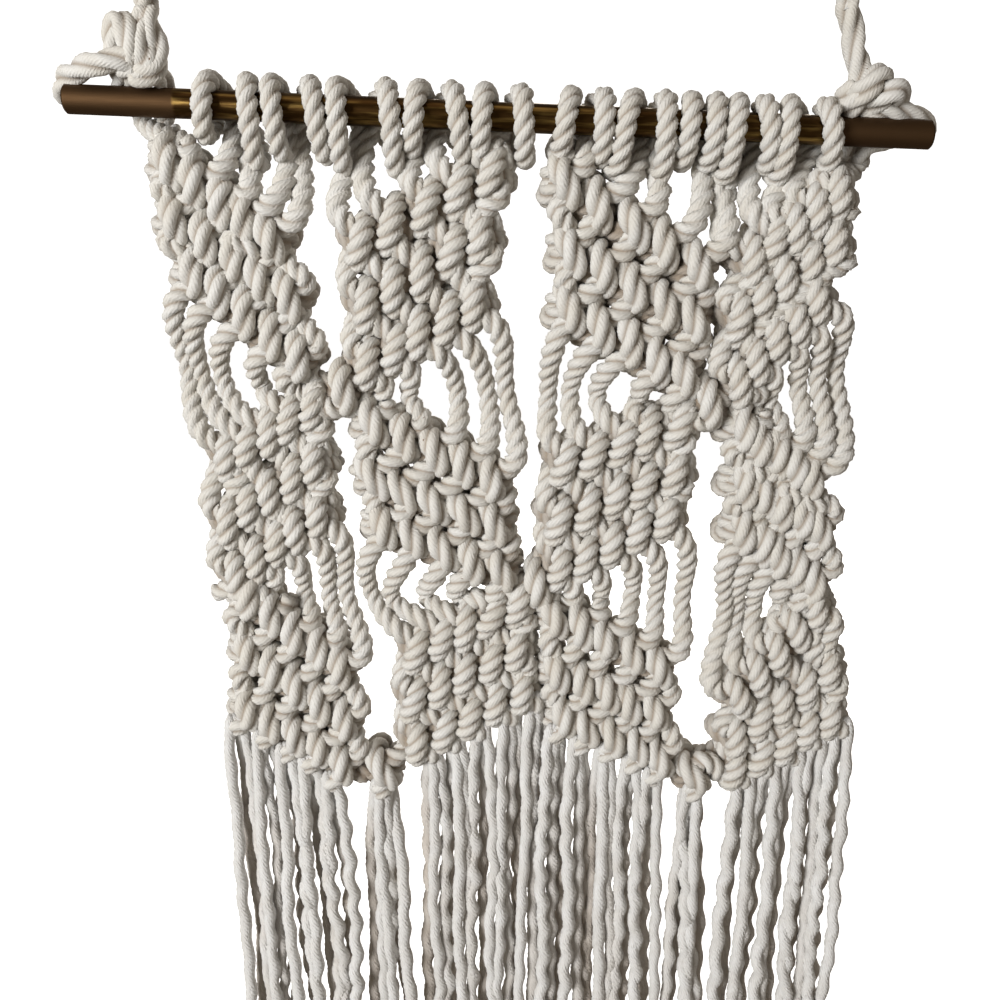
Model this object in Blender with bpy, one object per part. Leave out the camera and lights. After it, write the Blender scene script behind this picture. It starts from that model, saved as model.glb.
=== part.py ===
"""Macrame wall hanging on a slim rod, hung from a nail by its own rope.

Units: the tables are in millimetres from the rod's centre (x right, z up, y away from
the viewer); the scene is in metres with its origin at the underside of the rope's
bend, where a nail carries it. The rod's axis lies in the plane y = 0.

Pieces: the rod, the hanger rope with a knot at each end of the rod, the knotted net
of four columns, and one fringe under each column.
"""

import math

import bmesh
import bpy
from mathutils import Matrix, Vector

MM = 0.001

# Driving dimensions, mm
ROD_DROP = 196.0  # from the nail down to the rod's centre
ROD_LENGTH = 240.0
ROD_RADIUS = 4.0
ROD_TILT = math.radians(2.25)  # the left end hangs higher
ROD_BEVEL = 0.4
ROPE_RADIUS = 3.0
STRAND_RADIUS = 2.8  # ropes of the net, a little under so that pieces stay parted
WRAP_REACH = 7.6  # from the rod's axis to the middle of a rope round it
BAR_REACH = 13.8  # from the rod's axis back to a lark's head's rear bar
LEG_PLANE = 8.4  # y of the ropes that come down behind the rod
NET_PLANE = 4.0  # y of the leaders inside the knots
GAP = 0.4  # clearance between neighbouring pieces
KNOTS_PER_ROW = 5
FRINGE_END = -390.0
PLY_RADIUS = 2.0
PLY_LAYER = 2.7  # each ply hangs this far in front of or behind the fringe's plane
PLY_WAVE = 0.7
PLY_STEPS = 5
PLY_SPREAD = 0.6  # the share of its length over which a ply reaches its place in the tips
TIP_UNEVEN = 3.0
STRIP_HEIGHT = 4.0
STRIP_DEPTH = 9.0
STRIP_SECTIONS = 13
RUN_RINGS = 5

# Ridges of a knotted block, mm
FRONT_VALLEY, FRONT_RIDGE = 7.0, 5.0
REAR_VALLEY, REAR_RIDGE = 5.0, 2.5
EDGE_FRONT, EDGE_REAR = 3.8, 3.2
EDGE_KNOT = 0.42  # how far a row runs past the middle of its end knots, in knots
EDGE_ROW = 0.46  # how far a block runs past the middle of its end rows, in rows
EDGE_BULGE = 1.6

COTTON = (0.80, 0.74, 0.65, 1.0)
BRASS = (0.55, 0.38, 0.16, 1.0)

# Each block is three rows of double half hitches:
# block: three rows of (x_first, z_first, x_last, z_last), the middles of the end knots
BLOCKS = {
    "A1": ((-96, -13, -63, -33), (-96, -28, -58, -50), (-93, -43, -57, -67)),
    "B1": ((0, -15, -42, -34), (-3, -32, -42, -52), (-5, -51, -41, -69)),
    "C1": ((18, -19, 56, -41), (20, -37, 56, -57), (20, -54, 54, -73)),
    "D1": ((97, -21, 71, -39), (98, -34, 68, -55), (98, -50, 69, -74)),
    "A2": ((-53, -82, -87, -97), (-53, -99, -88, -117), (-53, -115, -85, -134)),
    "B2": ((-40, -87, 0, -104), (-41, -104, 0, -119), (-38, -120, 1, -134)),
    "C2": ((56, -87, 19, -99), (55, -102, 17, -117), (53, -116, 18, -133)),
    "D2": ((70, -90, 102, -104), (71, -106, 103, -120), (72, -121, 103, -137)),
    "A3": ((-83, -143, -49, -166), (-84, -162, -48, -185), (-86, -181, -50, -201)),
    "B3": ((6, -145, -29, -160), (6, -160, -30, -178), (8, -174, -29, -193)),
    "C3": ((16, -149, 53, -166), (17, -169, 53, -182), (19, -184, 55, -199)),
    "D3": ((102, -146, 75, -176), (109, -167, 74, -191), (111, -184, 75, -202)),
}

# Free ropes between two blocks of a column. Each leaves the upper block's last row at a
# knot and enters the lower block's first row at a knot, both counted from the row's first:
# (block above, block below): rows of (knot_above, x_middle, z_middle, knot_below)
RUNS = {
    ("A1", "A2"): ((0, -95, -70, 4), (1, -89, -72, 3), (2, -83, -73, 2), (3, -71, -77, 1)),
    ("B1", "B2"): ((0, 3, -74, 4), (1, -3, -77, 3), (2, -13, -77, 2), (3, -26, -79, 1)),
    ("C1", "C2"): ((0, 13, -79, 4), (1, 20, -77, 3), (2, 29, -79, 2), (3, 42, -80, 1)),
    ("D1", "D2"): ((0, 102, -72, 4), (1, 96, -75, 3), (2, 90, -77, 2), (3, 82, -80, 1)),
    ("A2", "A3"): (
        (0, -45, -142, 4), (1, -52, -145, 3), (2, -62, -143, 2), (3, -72, -145, 1),
        (4, -91, -143, 0),
    ),
    ("B2", "B3"): ((0, -39, -142, 4), (1, -31, -144, 3), (2, -23, -144, 2), (3, -13, -144, 1)),
    ("C2", "C3"): ((3, 32, -145, 1), (2, 42, -143, 2), (1, 50, -145, 3), (0, 59, -145, 4)),
    ("D2", "D3"): (
        (0, 68, -148, 4), (1, 76, -152, 3), (2, 82, -151, 2), (3, 89, -148, 1),
        (4, 110, -144, 0),
    ),
}

# Lark's heads over the rod: tops and bottoms of both front turns, then the two legs
# (x_top_1, x_low_1, z_low_1, x_top_2, x_low_2, z_low_2), z from the rod's axis
LARKS_HEADS = (
    (-80, -82, -8, -69, -68, -15),
    (-63, -61, -12, -52, -49, -12),
    (-45, -44, -15, -31, -29, -15),
    (-22, -25, -10, -13, -10, -11),
    (-4, -6, -10, 6, 7, -11),
    (20, 16, -9, 29, 28, -10),
    (37, 32, -13, 46, 45, -14),
    (53, 51, -10, 60, 58, -10),
    (66, 63, -13, 73, 75, -10),
    (80, 78, -13, 90, 92, -9),
)
# (x_rod_1, x_net_1, z_net_1, x_rod_2, x_net_2, z_net_2)
LEGS = (
    (-76, -88, -14, -73, -80, -21),
    (-60, -70, -26, -56, -62, -32),
    (-40, -44, -34, -36, -34, -29),
    (-20, -25, -25, -17, -14, -21),
    (-2, -5, -16, 2, 2, -16),
    (18, 14, -19, 23, 22, -21),
    (40, 31, -26, 43, 42, -33),
    (56, 52, -38, 59, 58, -42),
    (68, 69, -39, 73, 76, -34),
    (87, 83, -29, 91, 92, -25),
)
# Tails of the hanger that run down into the net: (x_rod, z_rod, x_net, z_net)
TAILS = (
    (-101.5, 0.5, -101, -14),
    (-95.5, 0.5, -94, -15),
    (100.5, -13.4, 98, -23),
    (106.5, -13.4, 101, -25),
)

# Knots that tie neighbouring columns together: (x, z, blocks whose leaders cross there)
JUNCTIONS = (
    (-47, -77, ("A1", "B1", "A2", "B2")),
    (62, -81, ("C1", "D1", "C2", "D2")),
    (11, -139, ("B2", "C2", "B3", "C3")),
    (-39, -203, ("A3", "B3")),
    (64, -204, ("C3", "D3")),
)
JUNCTION_SIZE = (6.5, 7.0, 7.0)

# Fringe of each column:
# (block above, x_strip_left, x_strip_right, x_tips_left, x_tips_right, number of plies)
FRINGES = {
    "A": ("A3", -89.0, -33.0, -92.0, -35.5, 20),
    "B": ("B3", -31.0, 11.0, -33.0, 12.0, 16),
    "C": ("C3", 12.5, 70.5, 15.0, 72.0, 20),
    "D": ("D3", 72.5, 115.0, 74.5, 119.0, 16),
}
STRIP_OVERHANG = 4.0  # past its block a strip drops on along this much, then runs level
STRIP_FALL = 1.1

# Hanger rope, left leg, bend over the nail, right leg: (x, z)
HANGER_ROUTE = (
    (-96.3, 30.4), (-84.0, 63.0), (-60.5, 106.0), (-31.0, 152.0), (-8.5, 189.0),
    (0.0, 199.0), (8.5, 189.0), (31.0, 151.0), (60.0, 104.0), (82.5, 61.0), (94.1, 27.6),
)
HANGER_STEP = 14.0

# Ropes of the two end knots, each a list of (x, y, z)
LEFT_KNOT = (
    ((-96.5, 0, 29.7), (-98, 0, 26), (-95.5, -2, 20), (-92.5, -3.5, 16), (-94, -4, 13.5),
     (-99, -4.5, 13.5)),
    ((-98, -4, 13.5), (-105, -4, 16), (-107.5, -3, 21), (-104, -3, 27), (-99.5, -5, 24),
     (-99, -6, 18)),
    ((-97, -5.5, 17), (-104, -5.5, 15), (-112, -4.5, 13.5), (-117.5, -2, 12.6),
     (-119, 4, 11), (-117.5, 8.8, 8), (-112, 9.5, 6), (-105, 9.2, 6.5),
     (-101.5, 8.4, 4.5), (-101.5, 8.4, 1.4)),
    ((-95.5, -3, 14.5), (-95, 3, 14), (-95, 7.6, 10.5), (-95.5, 8.4, 5), (-95.5, 8.4, 1.4)),
)
RIGHT_KNOT = (
    ((94.3, 0, 26.9), (96.2, 0, 21.3), (98, -3, 13), (101, -6, 7.5), (100, -8, 3)),
    ((99, -7.5, 3.5), (102, -7.5, 8), (106, -5, 12.5), (107, 0, 13), (104.5, 4, 9.5)),
    ((103, -8.5, 0.5), (107, -8, 5), (111, -5.5, 8.5), (112, 0, 8.5), (109.5, 4, 7)),
    ((108, -6, 6), (112.5, -6.5, 4.5), (116.5, -4, 4), (118, 2.5, 3.8), (116.5, 8.6, -1),
     (112, 9.6, -6), (106.5, 8.6, -9.5), (106.5, 8.4, -12.6)),
    ((101, -3, 10), (99.5, 3, 8.5), (99, 8.5, 3.5), (100.5, 8.6, -4), (100.5, 8.4, -9), (100.5, 8.4, -12.6)),
)


def clear_scene():
    for obj in list(bpy.data.objects):
        bpy.data.objects.remove(obj)


def make_material(name, colour, roughness, metallic):
    material = bpy.data.materials.new(name)
    material.use_nodes = True
    shader = material.node_tree.nodes["Principled BSDF"]
    shader.inputs["Base Color"].default_value = colour
    shader.inputs["Roughness"].default_value = roughness
    shader.inputs["Metallic"].default_value = metallic
    return material


def place(x, y, z):
    """The scene's point in metres for a table's point in millimetres."""
    return Vector((x, y, z - ROD_DROP)) * MM


def rod_height(x):
    """Height of the rod's axis at x, for it tilts about its middle."""
    return -x * math.tan(ROD_TILT)


def smooth_path(points, count):
    """count points evenly spaced on a smooth curve through the given ones."""
    knots = [Vector(point) for point in points]
    ends = [2 * knots[0] - knots[1], *knots, 2 * knots[-1] - knots[-2]]
    fine = []
    for before, start, end, after in zip(ends, ends[1:], ends[2:], ends[3:]):
        for step in range(12):
            t = step / 12
            fine.append(
                0.5 * (2 * start + (end - before) * t
                       + (2 * before - 5 * start + 4 * end - after) * t * t
                       + (3 * start - before - 3 * end + after) * t ** 3)
            )
    fine.append(knots[-1])
    reached = [0.0]
    for start, end in zip(fine, fine[1:]):
        reached.append(reached[-1] + (end - start).length)
    path = []
    segment = 0
    for index in range(count):
        distance = reached[-1] * index / (count - 1)
        while segment < len(fine) - 2 and reached[segment + 1] < distance:
            segment += 1
        share = (distance - reached[segment]) / (reached[segment + 1] - reached[segment])
        path.append(fine[segment].lerp(fine[segment + 1], share))
    return path


def tube_mesh(name, path, radius, sides):
    """A closed tube along a path of millimetre points, its ends capped."""
    form = bmesh.new()
    rings = []
    normal = None
    for index, point in enumerate(path):
        before = path[max(index - 1, 0)]
        after = path[min(index + 1, len(path) - 1)]
        along = (after - before).normalized()
        if normal is None:
            normal = along.orthogonal().normalized()
        normal = (normal - along * normal.dot(along)).normalized()
        across = along.cross(normal)
        ring = []
        for side in range(sides):
            turn = 2 * math.pi * side / sides
            offset = (normal * math.cos(turn) + across * math.sin(turn)) * radius
            ring.append(form.verts.new(place(*(point + offset))))
        rings.append(ring)
    for first, second in zip(rings, rings[1:]):
        for side in range(sides):
            other = (side + 1) % sides
            form.faces.new((first[side], first[other], second[other], second[side]))
    form.faces.new(reversed(rings[0]))
    form.faces.new(rings[-1])
    return finish_mesh(name, form)


def finish_mesh(name, form):
    bmesh.ops.recalc_face_normals(form, faces=form.faces)
    mesh = bpy.data.meshes.new(name)
    form.to_mesh(mesh)
    form.free()
    return mesh


def add_solid(name, mesh, material):
    mesh.materials.append(material)
    solid = bpy.data.objects.new(name, mesh)
    bpy.context.scene.collection.objects.link(solid)
    return solid


def add_united(name, meshes, material):
    """One solid made of many closed meshes, joined by a Boolean union."""
    others = bpy.data.collections.new(name + " pieces")
    bpy.context.scene.collection.children.link(others)
    solid = add_solid(name, meshes[0], material)
    for mesh in meshes[1:]:
        mesh.materials.append(material)
        piece = bpy.data.objects.new(mesh.name, mesh)
        piece.hide_render = True
        piece.display_type = "WIRE"
        others.objects.link(piece)
    union = solid.modifiers.new("union", "BOOLEAN")
    union.operation = "UNION"
    union.operand_type = "COLLECTION"
    union.collection = others
    return solid


def block_point(block, knot, row):
    """Point (x, z) of a block at a knot number and a row number, both counted from 0."""
    rows = BLOCKS[block]
    upper = min(max(int(math.floor(row)), 0), len(rows) - 2)
    ends = []
    for x_first, z_first, x_last, z_last in rows[upper:upper + 2]:
        share = knot / (KNOTS_PER_ROW - 1)
        ends.append(Vector((x_first, z_first)).lerp(Vector((x_last, z_last)), share))
    return ends[0] + (ends[1] - ends[0]) * (row - upper)


def block_mesh(block):
    """Three fused rows of knots: a closed sheet with a ridge raised at each knot."""
    rows = len(BLOCKS[block])
    knot_steps = [-EDGE_KNOT] + [n / 2 for n in range(2 * KNOTS_PER_ROW - 1)]
    knot_steps.append(KNOTS_PER_ROW - 1 + EDGE_KNOT)
    row_steps = [-EDGE_ROW] + [n / 2 for n in range(2 * rows - 1)] + [rows - 1 + EDGE_ROW]
    last_knot, last_row = len(knot_steps) - 1, len(row_steps) - 1
    middle = block_point(block, (KNOTS_PER_ROW - 1) / 2, (rows - 1) / 2)
    form = bmesh.new()
    front, rear = {}, {}
    for i, knot in enumerate(knot_steps):
        for j, row in enumerate(row_steps):
            point = block_point(block, knot, row)
            on_side = i in (0, last_knot)
            on_edge = on_side or j in (0, last_row)
            ridge = (i % 2 == 1) and (j % 2 == 1)
            if on_side and j % 2 == 1 or j == 0 and i % 2 == 1:
                point = point + (point - middle).normalized() * EDGE_BULGE
            ahead = EDGE_FRONT if on_edge else FRONT_VALLEY + FRONT_RIDGE * ridge
            behind = EDGE_REAR if on_edge else REAR_VALLEY + REAR_RIDGE * ridge
            front[i, j] = form.verts.new(place(point.x, NET_PLANE - ahead, point.y))
            rear[i, j] = form.verts.new(place(point.x, NET_PLANE + behind, point.y))
    for side in (front, rear):
        for i in range(last_knot):
            for j in range(last_row):
                form.faces.new((side[i, j], side[i + 1, j], side[i + 1, j + 1], side[i, j + 1]))
    rim = [(i, 0) for i in range(last_knot)] + [(last_knot, j) for j in range(last_row)]
    rim += [(i, last_row) for i in range(last_knot, 0, -1)]
    rim += [(0, j) for j in range(last_row, 0, -1)]
    for here, there in zip(rim, rim[1:] + rim[:1]):
        form.faces.new((front[here], front[there], rear[there], rear[here]))
    return finish_mesh("block " + block, form)


def run_mesh(name, above, below, row):
    """A free rope that bows from one block down to the next."""
    knot_above, x_middle, z_middle, knot_below = row
    top = block_point(above, knot_above, len(BLOCKS[above]) - 1)
    low = block_point(below, knot_below, 0)
    stations = (top, Vector((x_middle, z_middle)), low)
    points = [(station.x, NET_PLANE, station.y) for station in stations]
    return tube_mesh(name, smooth_path(points, RUN_RINGS), STRAND_RADIUS, 5)


def turn_point(x, z_drop, angle):
    """A point of a rope over the rod, its angle counted from the top towards the front."""
    sag = max(0.0, -math.cos(angle)) * (z_drop - WRAP_REACH)
    y = -WRAP_REACH * math.sin(angle)
    return (x, y, rod_height(x) + WRAP_REACH * math.cos(angle) - sag)


def larks_head_mesh(name, row):
    """Both front turns of a lark's head and the bar that joins them behind the rod."""
    x_top_1, x_low_1, z_low_1, x_top_2, x_low_2, z_low_2 = row
    turns = []
    for x_top, x_low, z_low in ((x_top_1, x_low_1, z_low_1), (x_top_2, x_low_2, z_low_2)):
        turn = []
        for degrees in (-50, 0, 45, 90, 135, 180):
            share = max(0.0, degrees / 180)
            x = x_top + (x_low - x_top) * share
            turn.append(turn_point(x, -z_low, math.radians(degrees)))
        turns.append(turn)
    bar = (
        (x_low_1 + 1.0, BAR_REACH - 3, z_low_1 + rod_height(x_low_1) + 3),
        ((x_low_1 + x_low_2) / 2, BAR_REACH, rod_height(x_low_1) - 2),
        (x_low_2 - 1.0, BAR_REACH - 3, z_low_2 + rod_height(x_low_2) + 3),
    )
    path = [Vector(point) for point in (*turns[0], *bar, *reversed(turns[1]))]
    return tube_mesh(name, path, STRAND_RADIUS, 5)


def leg_mesh(name, x_rod, x_net, z_net):
    """A rope from the top of the rod, down behind it and into the net."""
    points = [Vector(turn_point(x_rod, WRAP_REACH, math.radians(angle)))
              for angle in (-20, -55)]
    height = rod_height(x_rod)
    points.append(Vector((x_rod, LEG_PLANE, height - 1)))
    points.append(Vector(((x_rod + x_net) / 2, LEG_PLANE - 1, (height + z_net) / 2 - 1)))
    points.append(Vector((x_net, NET_PLANE, z_net)))
    return tube_mesh(name, points, STRAND_RADIUS, 5)


def tail_mesh(name, row):
    x_rod, z_rod, x_net, z_net = row
    points = ((x_rod, LEG_PLANE, z_rod), (x_rod, LEG_PLANE, z_rod - 3),
              (x_net, NET_PLANE + 1, z_net))
    return tube_mesh(name, [Vector(point) for point in points], STRAND_RADIUS, 6)


def junction_meshes(name, x, z, blocks):
    """A knot between two columns and the leaders that run into it from their blocks."""
    form = bmesh.new()
    bmesh.ops.create_uvsphere(form, u_segments=8, v_segments=5, radius=1.0)
    size = Matrix.Diagonal(Vector(JUNCTION_SIZE) * MM).to_4x4()
    where = Matrix.Translation(place(x, NET_PLANE - 2, z))
    bmesh.ops.transform(form, matrix=where @ size, verts=form.verts)
    meshes = [finish_mesh(name, form)]
    for block in blocks:
        first, last = block_point(block, 0, 0), block_point(block, KNOTS_PER_ROW - 1, 2)
        near = first if (first - Vector((x, z))).length < (last - Vector((x, z))).length else last
        path = (Vector((near.x, NET_PLANE, near.y)), Vector((x, NET_PLANE - 1, z)))
        meshes.append(tube_mesh(name + " " + block, path, STRAND_RADIUS, 5))
    return meshes


def net_meshes():
    meshes = [block_mesh(block) for block in BLOCKS]
    for (above, below), runs in RUNS.items():
        for row in runs:
            meshes.append(run_mesh(f"run {above} {row[0]}", above, below, row))
    for number, (turns, legs) in enumerate(zip(LARKS_HEADS, LEGS)):
        meshes.append(larks_head_mesh(f"larks head {number}", turns))
        meshes.append(leg_mesh(f"leg {number} left", *legs[:3]))
        meshes.append(leg_mesh(f"leg {number} right", *legs[3:]))
    meshes += [tail_mesh(f"tail {n}", row) for n, row in enumerate(TAILS)]
    for number, (x, z, blocks) in enumerate(JUNCTIONS):
        meshes += junction_meshes(f"junction {number}", x, z, blocks)
    return meshes


def strip_line(column, x):
    """Height of a fringe strip's middle at x: it follows the lower edge of the last row."""
    block = FRINGES[column][0]
    ends = [block_point(block, knot, 2 + EDGE_ROW)
            for knot in (-EDGE_KNOT, KNOTS_PER_ROW - 1 + EDGE_KNOT)]
    slope = (ends[1].y - ends[0].y) / (ends[1].x - ends[0].x)
    drop = (STRIP_HEIGHT / 2 + GAP) * math.hypot(1, slope)
    low_end = ends[1]
    beyond = (x - low_end.x) * (1 if low_end.x > ends[0].x else -1)
    if beyond > 0:
        return low_end.y - min(beyond, STRIP_OVERHANG) * STRIP_FALL - drop
    return low_end.y + slope * (x - low_end.x) - drop


def strip_mesh(column):
    """A narrow flat strip, cut square, that the plies of one fringe hang from."""
    _, left, right, _, _, _ = FRINGES[column]
    form = bmesh.new()
    sections = []
    for index in range(STRIP_SECTIONS):
        x = left + (right - left) * index / (STRIP_SECTIONS - 1)
        z = strip_line(column, x)
        corners = ((-1, -1), (1, -1), (1, 1), (-1, 1))
        sections.append([
            form.verts.new(place(x, NET_PLANE + side * STRIP_DEPTH / 2,
                                 z + rise * STRIP_HEIGHT / 2))
            for side, rise in corners
        ])
    for first, second in zip(sections, sections[1:]):
        for n in range(4):
            form.faces.new((first[n], first[(n + 1) % 4], second[(n + 1) % 4], second[n]))
    form.faces.new(reversed(sections[0]))
    form.faces.new(sections[-1])
    return finish_mesh("strip " + column, form)


def fringe_meshes(column):
    _, left, right, tip_left, tip_right, plies = FRINGES[column]
    meshes = [strip_mesh(column)]
    for number in range(plies):
        share = number / (plies - 1)
        x_root = left + PLY_RADIUS + (right - left - 2 * PLY_RADIUS) * share
        x_tip = tip_left + (tip_right - tip_left) * share
        y = NET_PLANE + (PLY_LAYER if number % 2 else -PLY_LAYER)
        z_root = strip_line(column, x_root) - STRIP_HEIGHT / 4
        z_tip = FRINGE_END - TIP_UNEVEN * math.sin(2.4 * number)
        path = []
        for step in range(PLY_STEPS + 1):
            t = step / PLY_STEPS
            x = x_root + (x_tip - x_root) * min(1.0, t / PLY_SPREAD)
            if step > 0:
                x += PLY_WAVE * math.sin(2.1 * step + 0.25 * number)
            path.append(Vector((x, y, z_root + (z_tip - z_root) * t)))
        meshes.append(tube_mesh(f"ply {column} {number}", path, PLY_RADIUS, 3))
    return meshes


def add_rod(material):
    form = bmesh.new()
    bmesh.ops.create_cone(
        form, cap_ends=True, segments=24, radius1=ROD_RADIUS * MM, radius2=ROD_RADIUS * MM,
        depth=ROD_LENGTH * MM,
    )
    ends = [edge for edge in form.edges if abs(edge.verts[0].co.z - edge.verts[1].co.z) < 1e-6]
    bmesh.ops.bevel(form, geom=ends, offset=ROD_BEVEL * MM, segments=1, affect="EDGES")
    rod = add_solid("rod", finish_mesh("rod", form), material)
    rod.location = place(0, 0, 0)
    rod.rotation_euler = (0, math.pi / 2 + ROD_TILT, 0)
    rod.data.shade_smooth()
    rod.data.set_sharp_from_angle(angle=math.radians(30))


def add_hanger(material):
    route = [(x, 0.0, z) for x, z in HANGER_ROUTE]
    length = sum(math.dist(a, b) for a, b in zip(route, route[1:]))
    path = smooth_path(route, round(length / HANGER_STEP) + 1)
    curve = bpy.data.curves.new("hanger", "CURVE")
    curve.dimensions = "3D"
    curve.bevel_depth = ROPE_RADIUS * MM
    curve.bevel_resolution = 2
    curve.use_fill_caps = True
    spline = curve.splines.new("POLY")
    spline.points.add(len(path) - 1)
    for point, where in zip(spline.points, path):
        point.co = (*place(*where), 1.0)
    add_solid("hanger", curve, material)


def add_end_knot(name, ropes, material):
    meshes = []
    for number, rope in enumerate(ropes):
        path = smooth_path(rope, len(rope) + 3)
        meshes.append(tube_mesh(f"{name} rope {number}", path, ROPE_RADIUS - 0.1, 6))
    add_united(name, meshes, material)


def main():
    clear_scene()
    cotton = make_material("cotton", COTTON, 0.95, 0.0)
    brass = make_material("brass", BRASS, 0.25, 1.0)
    add_rod(brass)
    add_hanger(cotton)
    add_end_knot("hanger_knot_left", LEFT_KNOT, cotton)
    add_end_knot("hanger_knot_right", RIGHT_KNOT, cotton)
    add_united("macrame_net", net_meshes(), cotton)
    for column in FRINGES:
        add_united("fringe_" + column.lower(), fringe_meshes(column), cotton)


main()
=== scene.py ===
"""Looks of a macrame wall hanging: laid cotton rope knotted on a slim brass rod.

Every rope is one path. Tables hold the few places that were measured, in millimetres
from the middle of the rod (x right, y away from the viewer, z up), and the classes tie
the knots along them: lark's heads on the rod, rows of double half hitches, crossings
between the columns, and the fringe of opened plies. A line is an array with one row for
each point of a path: x, y, z, swell, twist in turns a millimetre, and painted shade, a
warm darkening of rope that lies hidden in a knot.
"""

import logging
import math
from dataclasses import dataclass, field
from enum import Enum

import bpy
import numpy as np
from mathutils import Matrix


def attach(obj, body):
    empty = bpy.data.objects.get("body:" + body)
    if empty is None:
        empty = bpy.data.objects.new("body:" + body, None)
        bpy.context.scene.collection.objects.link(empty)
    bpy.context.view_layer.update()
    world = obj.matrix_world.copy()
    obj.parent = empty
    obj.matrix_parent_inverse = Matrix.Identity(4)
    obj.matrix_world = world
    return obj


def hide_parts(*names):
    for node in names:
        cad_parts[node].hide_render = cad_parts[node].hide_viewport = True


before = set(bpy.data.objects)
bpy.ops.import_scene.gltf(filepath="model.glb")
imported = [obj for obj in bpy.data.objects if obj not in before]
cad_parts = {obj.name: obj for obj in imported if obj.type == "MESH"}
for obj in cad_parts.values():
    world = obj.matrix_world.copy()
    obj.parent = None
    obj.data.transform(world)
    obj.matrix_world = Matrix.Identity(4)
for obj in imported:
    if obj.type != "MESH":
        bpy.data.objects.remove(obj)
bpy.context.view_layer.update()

Place = tuple[float, float, float]
Colour = tuple[float, float, float, float]
Socket = bpy.types.NodeSocket
Material = bpy.types.Material

MM = 0.001
TURN = 2 * math.pi
# Random phases lie between 0 and this, and random starts on the yarn pattern up to the next.
MOST_PHASE = 6.28
PATTERN_LENGTH = 1000.0

# The middle of the rod is this far below the nail, and its axis falls to the right.
ROD_DROP = 196.0
ROD_TILT = math.radians(2.25)
# The net hangs in this plane, behind the rod's axis, in four columns of six cords.
NET_PLANE = 4.0
COLUMNS = "ABCD"
CORDS_PER_COLUMN = 6
PLIES = 3
# Columns of a line after x, y and z.
SWELL, TWIST, PAINTED_SHADE = 3, 4, 5
# Points that a smooth curve is read at between two given ones, the least distance between
# those for its slopes, and the fewest points that a line is given.
READINGS = 16
LEAST_CHORD = 0.001
FEWEST_POINTS = 3
# A path's first axis across it is worked out from this direction, which none starts along.
FIRST_SIDE = (0.2, 1.0, 0.3)
# Numbers of a colour Mix node's two colour inputs and of its colour output.
FIRST_COLOUR, SECOND_COLOUR, MIXED = 6, 7, 2

log = logging.getLogger("wall_hanging")


class Slant(Enum):
    """The way a row of hitches runs: down to the right, or down to the left."""

    RIGHT = 1
    LEFT = -1


@dataclass(frozen=True)
class Feel:
    """How a rope is at a place.

    Attributes:
        swell: 0 where the rope is drawn thin, 1 where it is fat.
        lay: Length of one turn of its plies, in millimetres.
        depth: Painted shade, 1 where it lies hidden in a knot: its colour is darkened to a warm brown as if
            in shadow.
    """

    swell: float
    lay: float
    depth: float = 0.0


# Outside the knots: between two blocks, over the rod, up to the nail, and a tied-off tail.
FREE = Feel(0.45, 13.5)
OVER_ROD = Feel(0.65, 13.0)
HANGING = Feel(0.6, 17.0)
TIED_OFF = Feel(0.6, 13.0)
# A feel's third number, where one is given, is painted shade: rope hidden in a knot is darkened to a warm
# brown as if in shadow.
# A leader inside its row, at the row's first and last knots, and outside them.
LEADING = Feel(1.8, 12.0, 1.0)
OUTER = Feel(0.9, 12.0, 0.2)
EDGE = Feel(1.1, 12.5)
# A hitched cord: under its riding turn, sunk beside it, behind the leader, riding (in a row
# down to the left, or to the right, where its plies open), and free above or below the turn.
UNDER = Feel(1.0, 12.0, 0.85)
SUNKEN = Feel(1.5, 12.0, 0.85)
BEHIND = Feel(1.4, 12.0, 0.4)
RIDING = Feel(1.55, 12.0)
OPENED = Feel(1.6, 20.0)
LOBE = Feel(1.4, 12.5)
# Rope of the two end knots, and a cord's end where it parts into the fringe.
KNOTTED = Feel(1.2, 32.0)
PARTED = Feel(-2.6, 30.0)

# Rows of every block, (x_first, z_first, x_last, z_last): the middles of the end knots.
BLOCK_ROWS = {
    "A1": ((-92.5, -13, -65.5, -33), (-91.5, -28, -61.5, -50), (-88.5, -43, -59.5, -67)),
    "B1": ((-2.5, -15, -39.5, -34), (-6, -32, -39, -52), (-8, -51, -38.5, -69)),
    "C1": ((18, -19, 56, -41), (20, -37, 56, -57), (20, -54, 54, -73)),
    "D1": ((94, -21, 72, -39), (94.5, -34, 69, -55), (90.5, -50, 70, -74)),
    "A2": ((-56, -82, -82.5, -97), (-56, -99, -83.5, -117), (-56, -115, -81.5, -134)),
    "B2": ((-38, -87, -2.5, -104), (-38.5, -104, -1.5, -119), (-36, -120, 0, -134)),
    "C2": ((53.5, -87, 19.5, -99), (52.5, -102, 17.5, -117), (50.5, -116, 18, -133)),
    "D2": ((72.5, -90, 93.5, -104), (73.5, -106, 97.5, -120), (74.5, -121, 97, -137)),
    "A3": ((-79.5, -143, -51.5, -166), (-80.5, -162, -50.5, -185), (-82, -181, -52, -201)),
    "B3": ((5, -145, -26.5, -160), (5, -160, -27.5, -178), (7, -174, -27, -193)),
    "C3": ((17, -149, 50, -166), (18, -169, 49.5, -182), (20, -184, 52, -199)),
    "D3": ((99, -146, 77, -176), (104.5, -167, 77, -191), (106.5, -184, 77.5, -202)),
}

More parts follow.
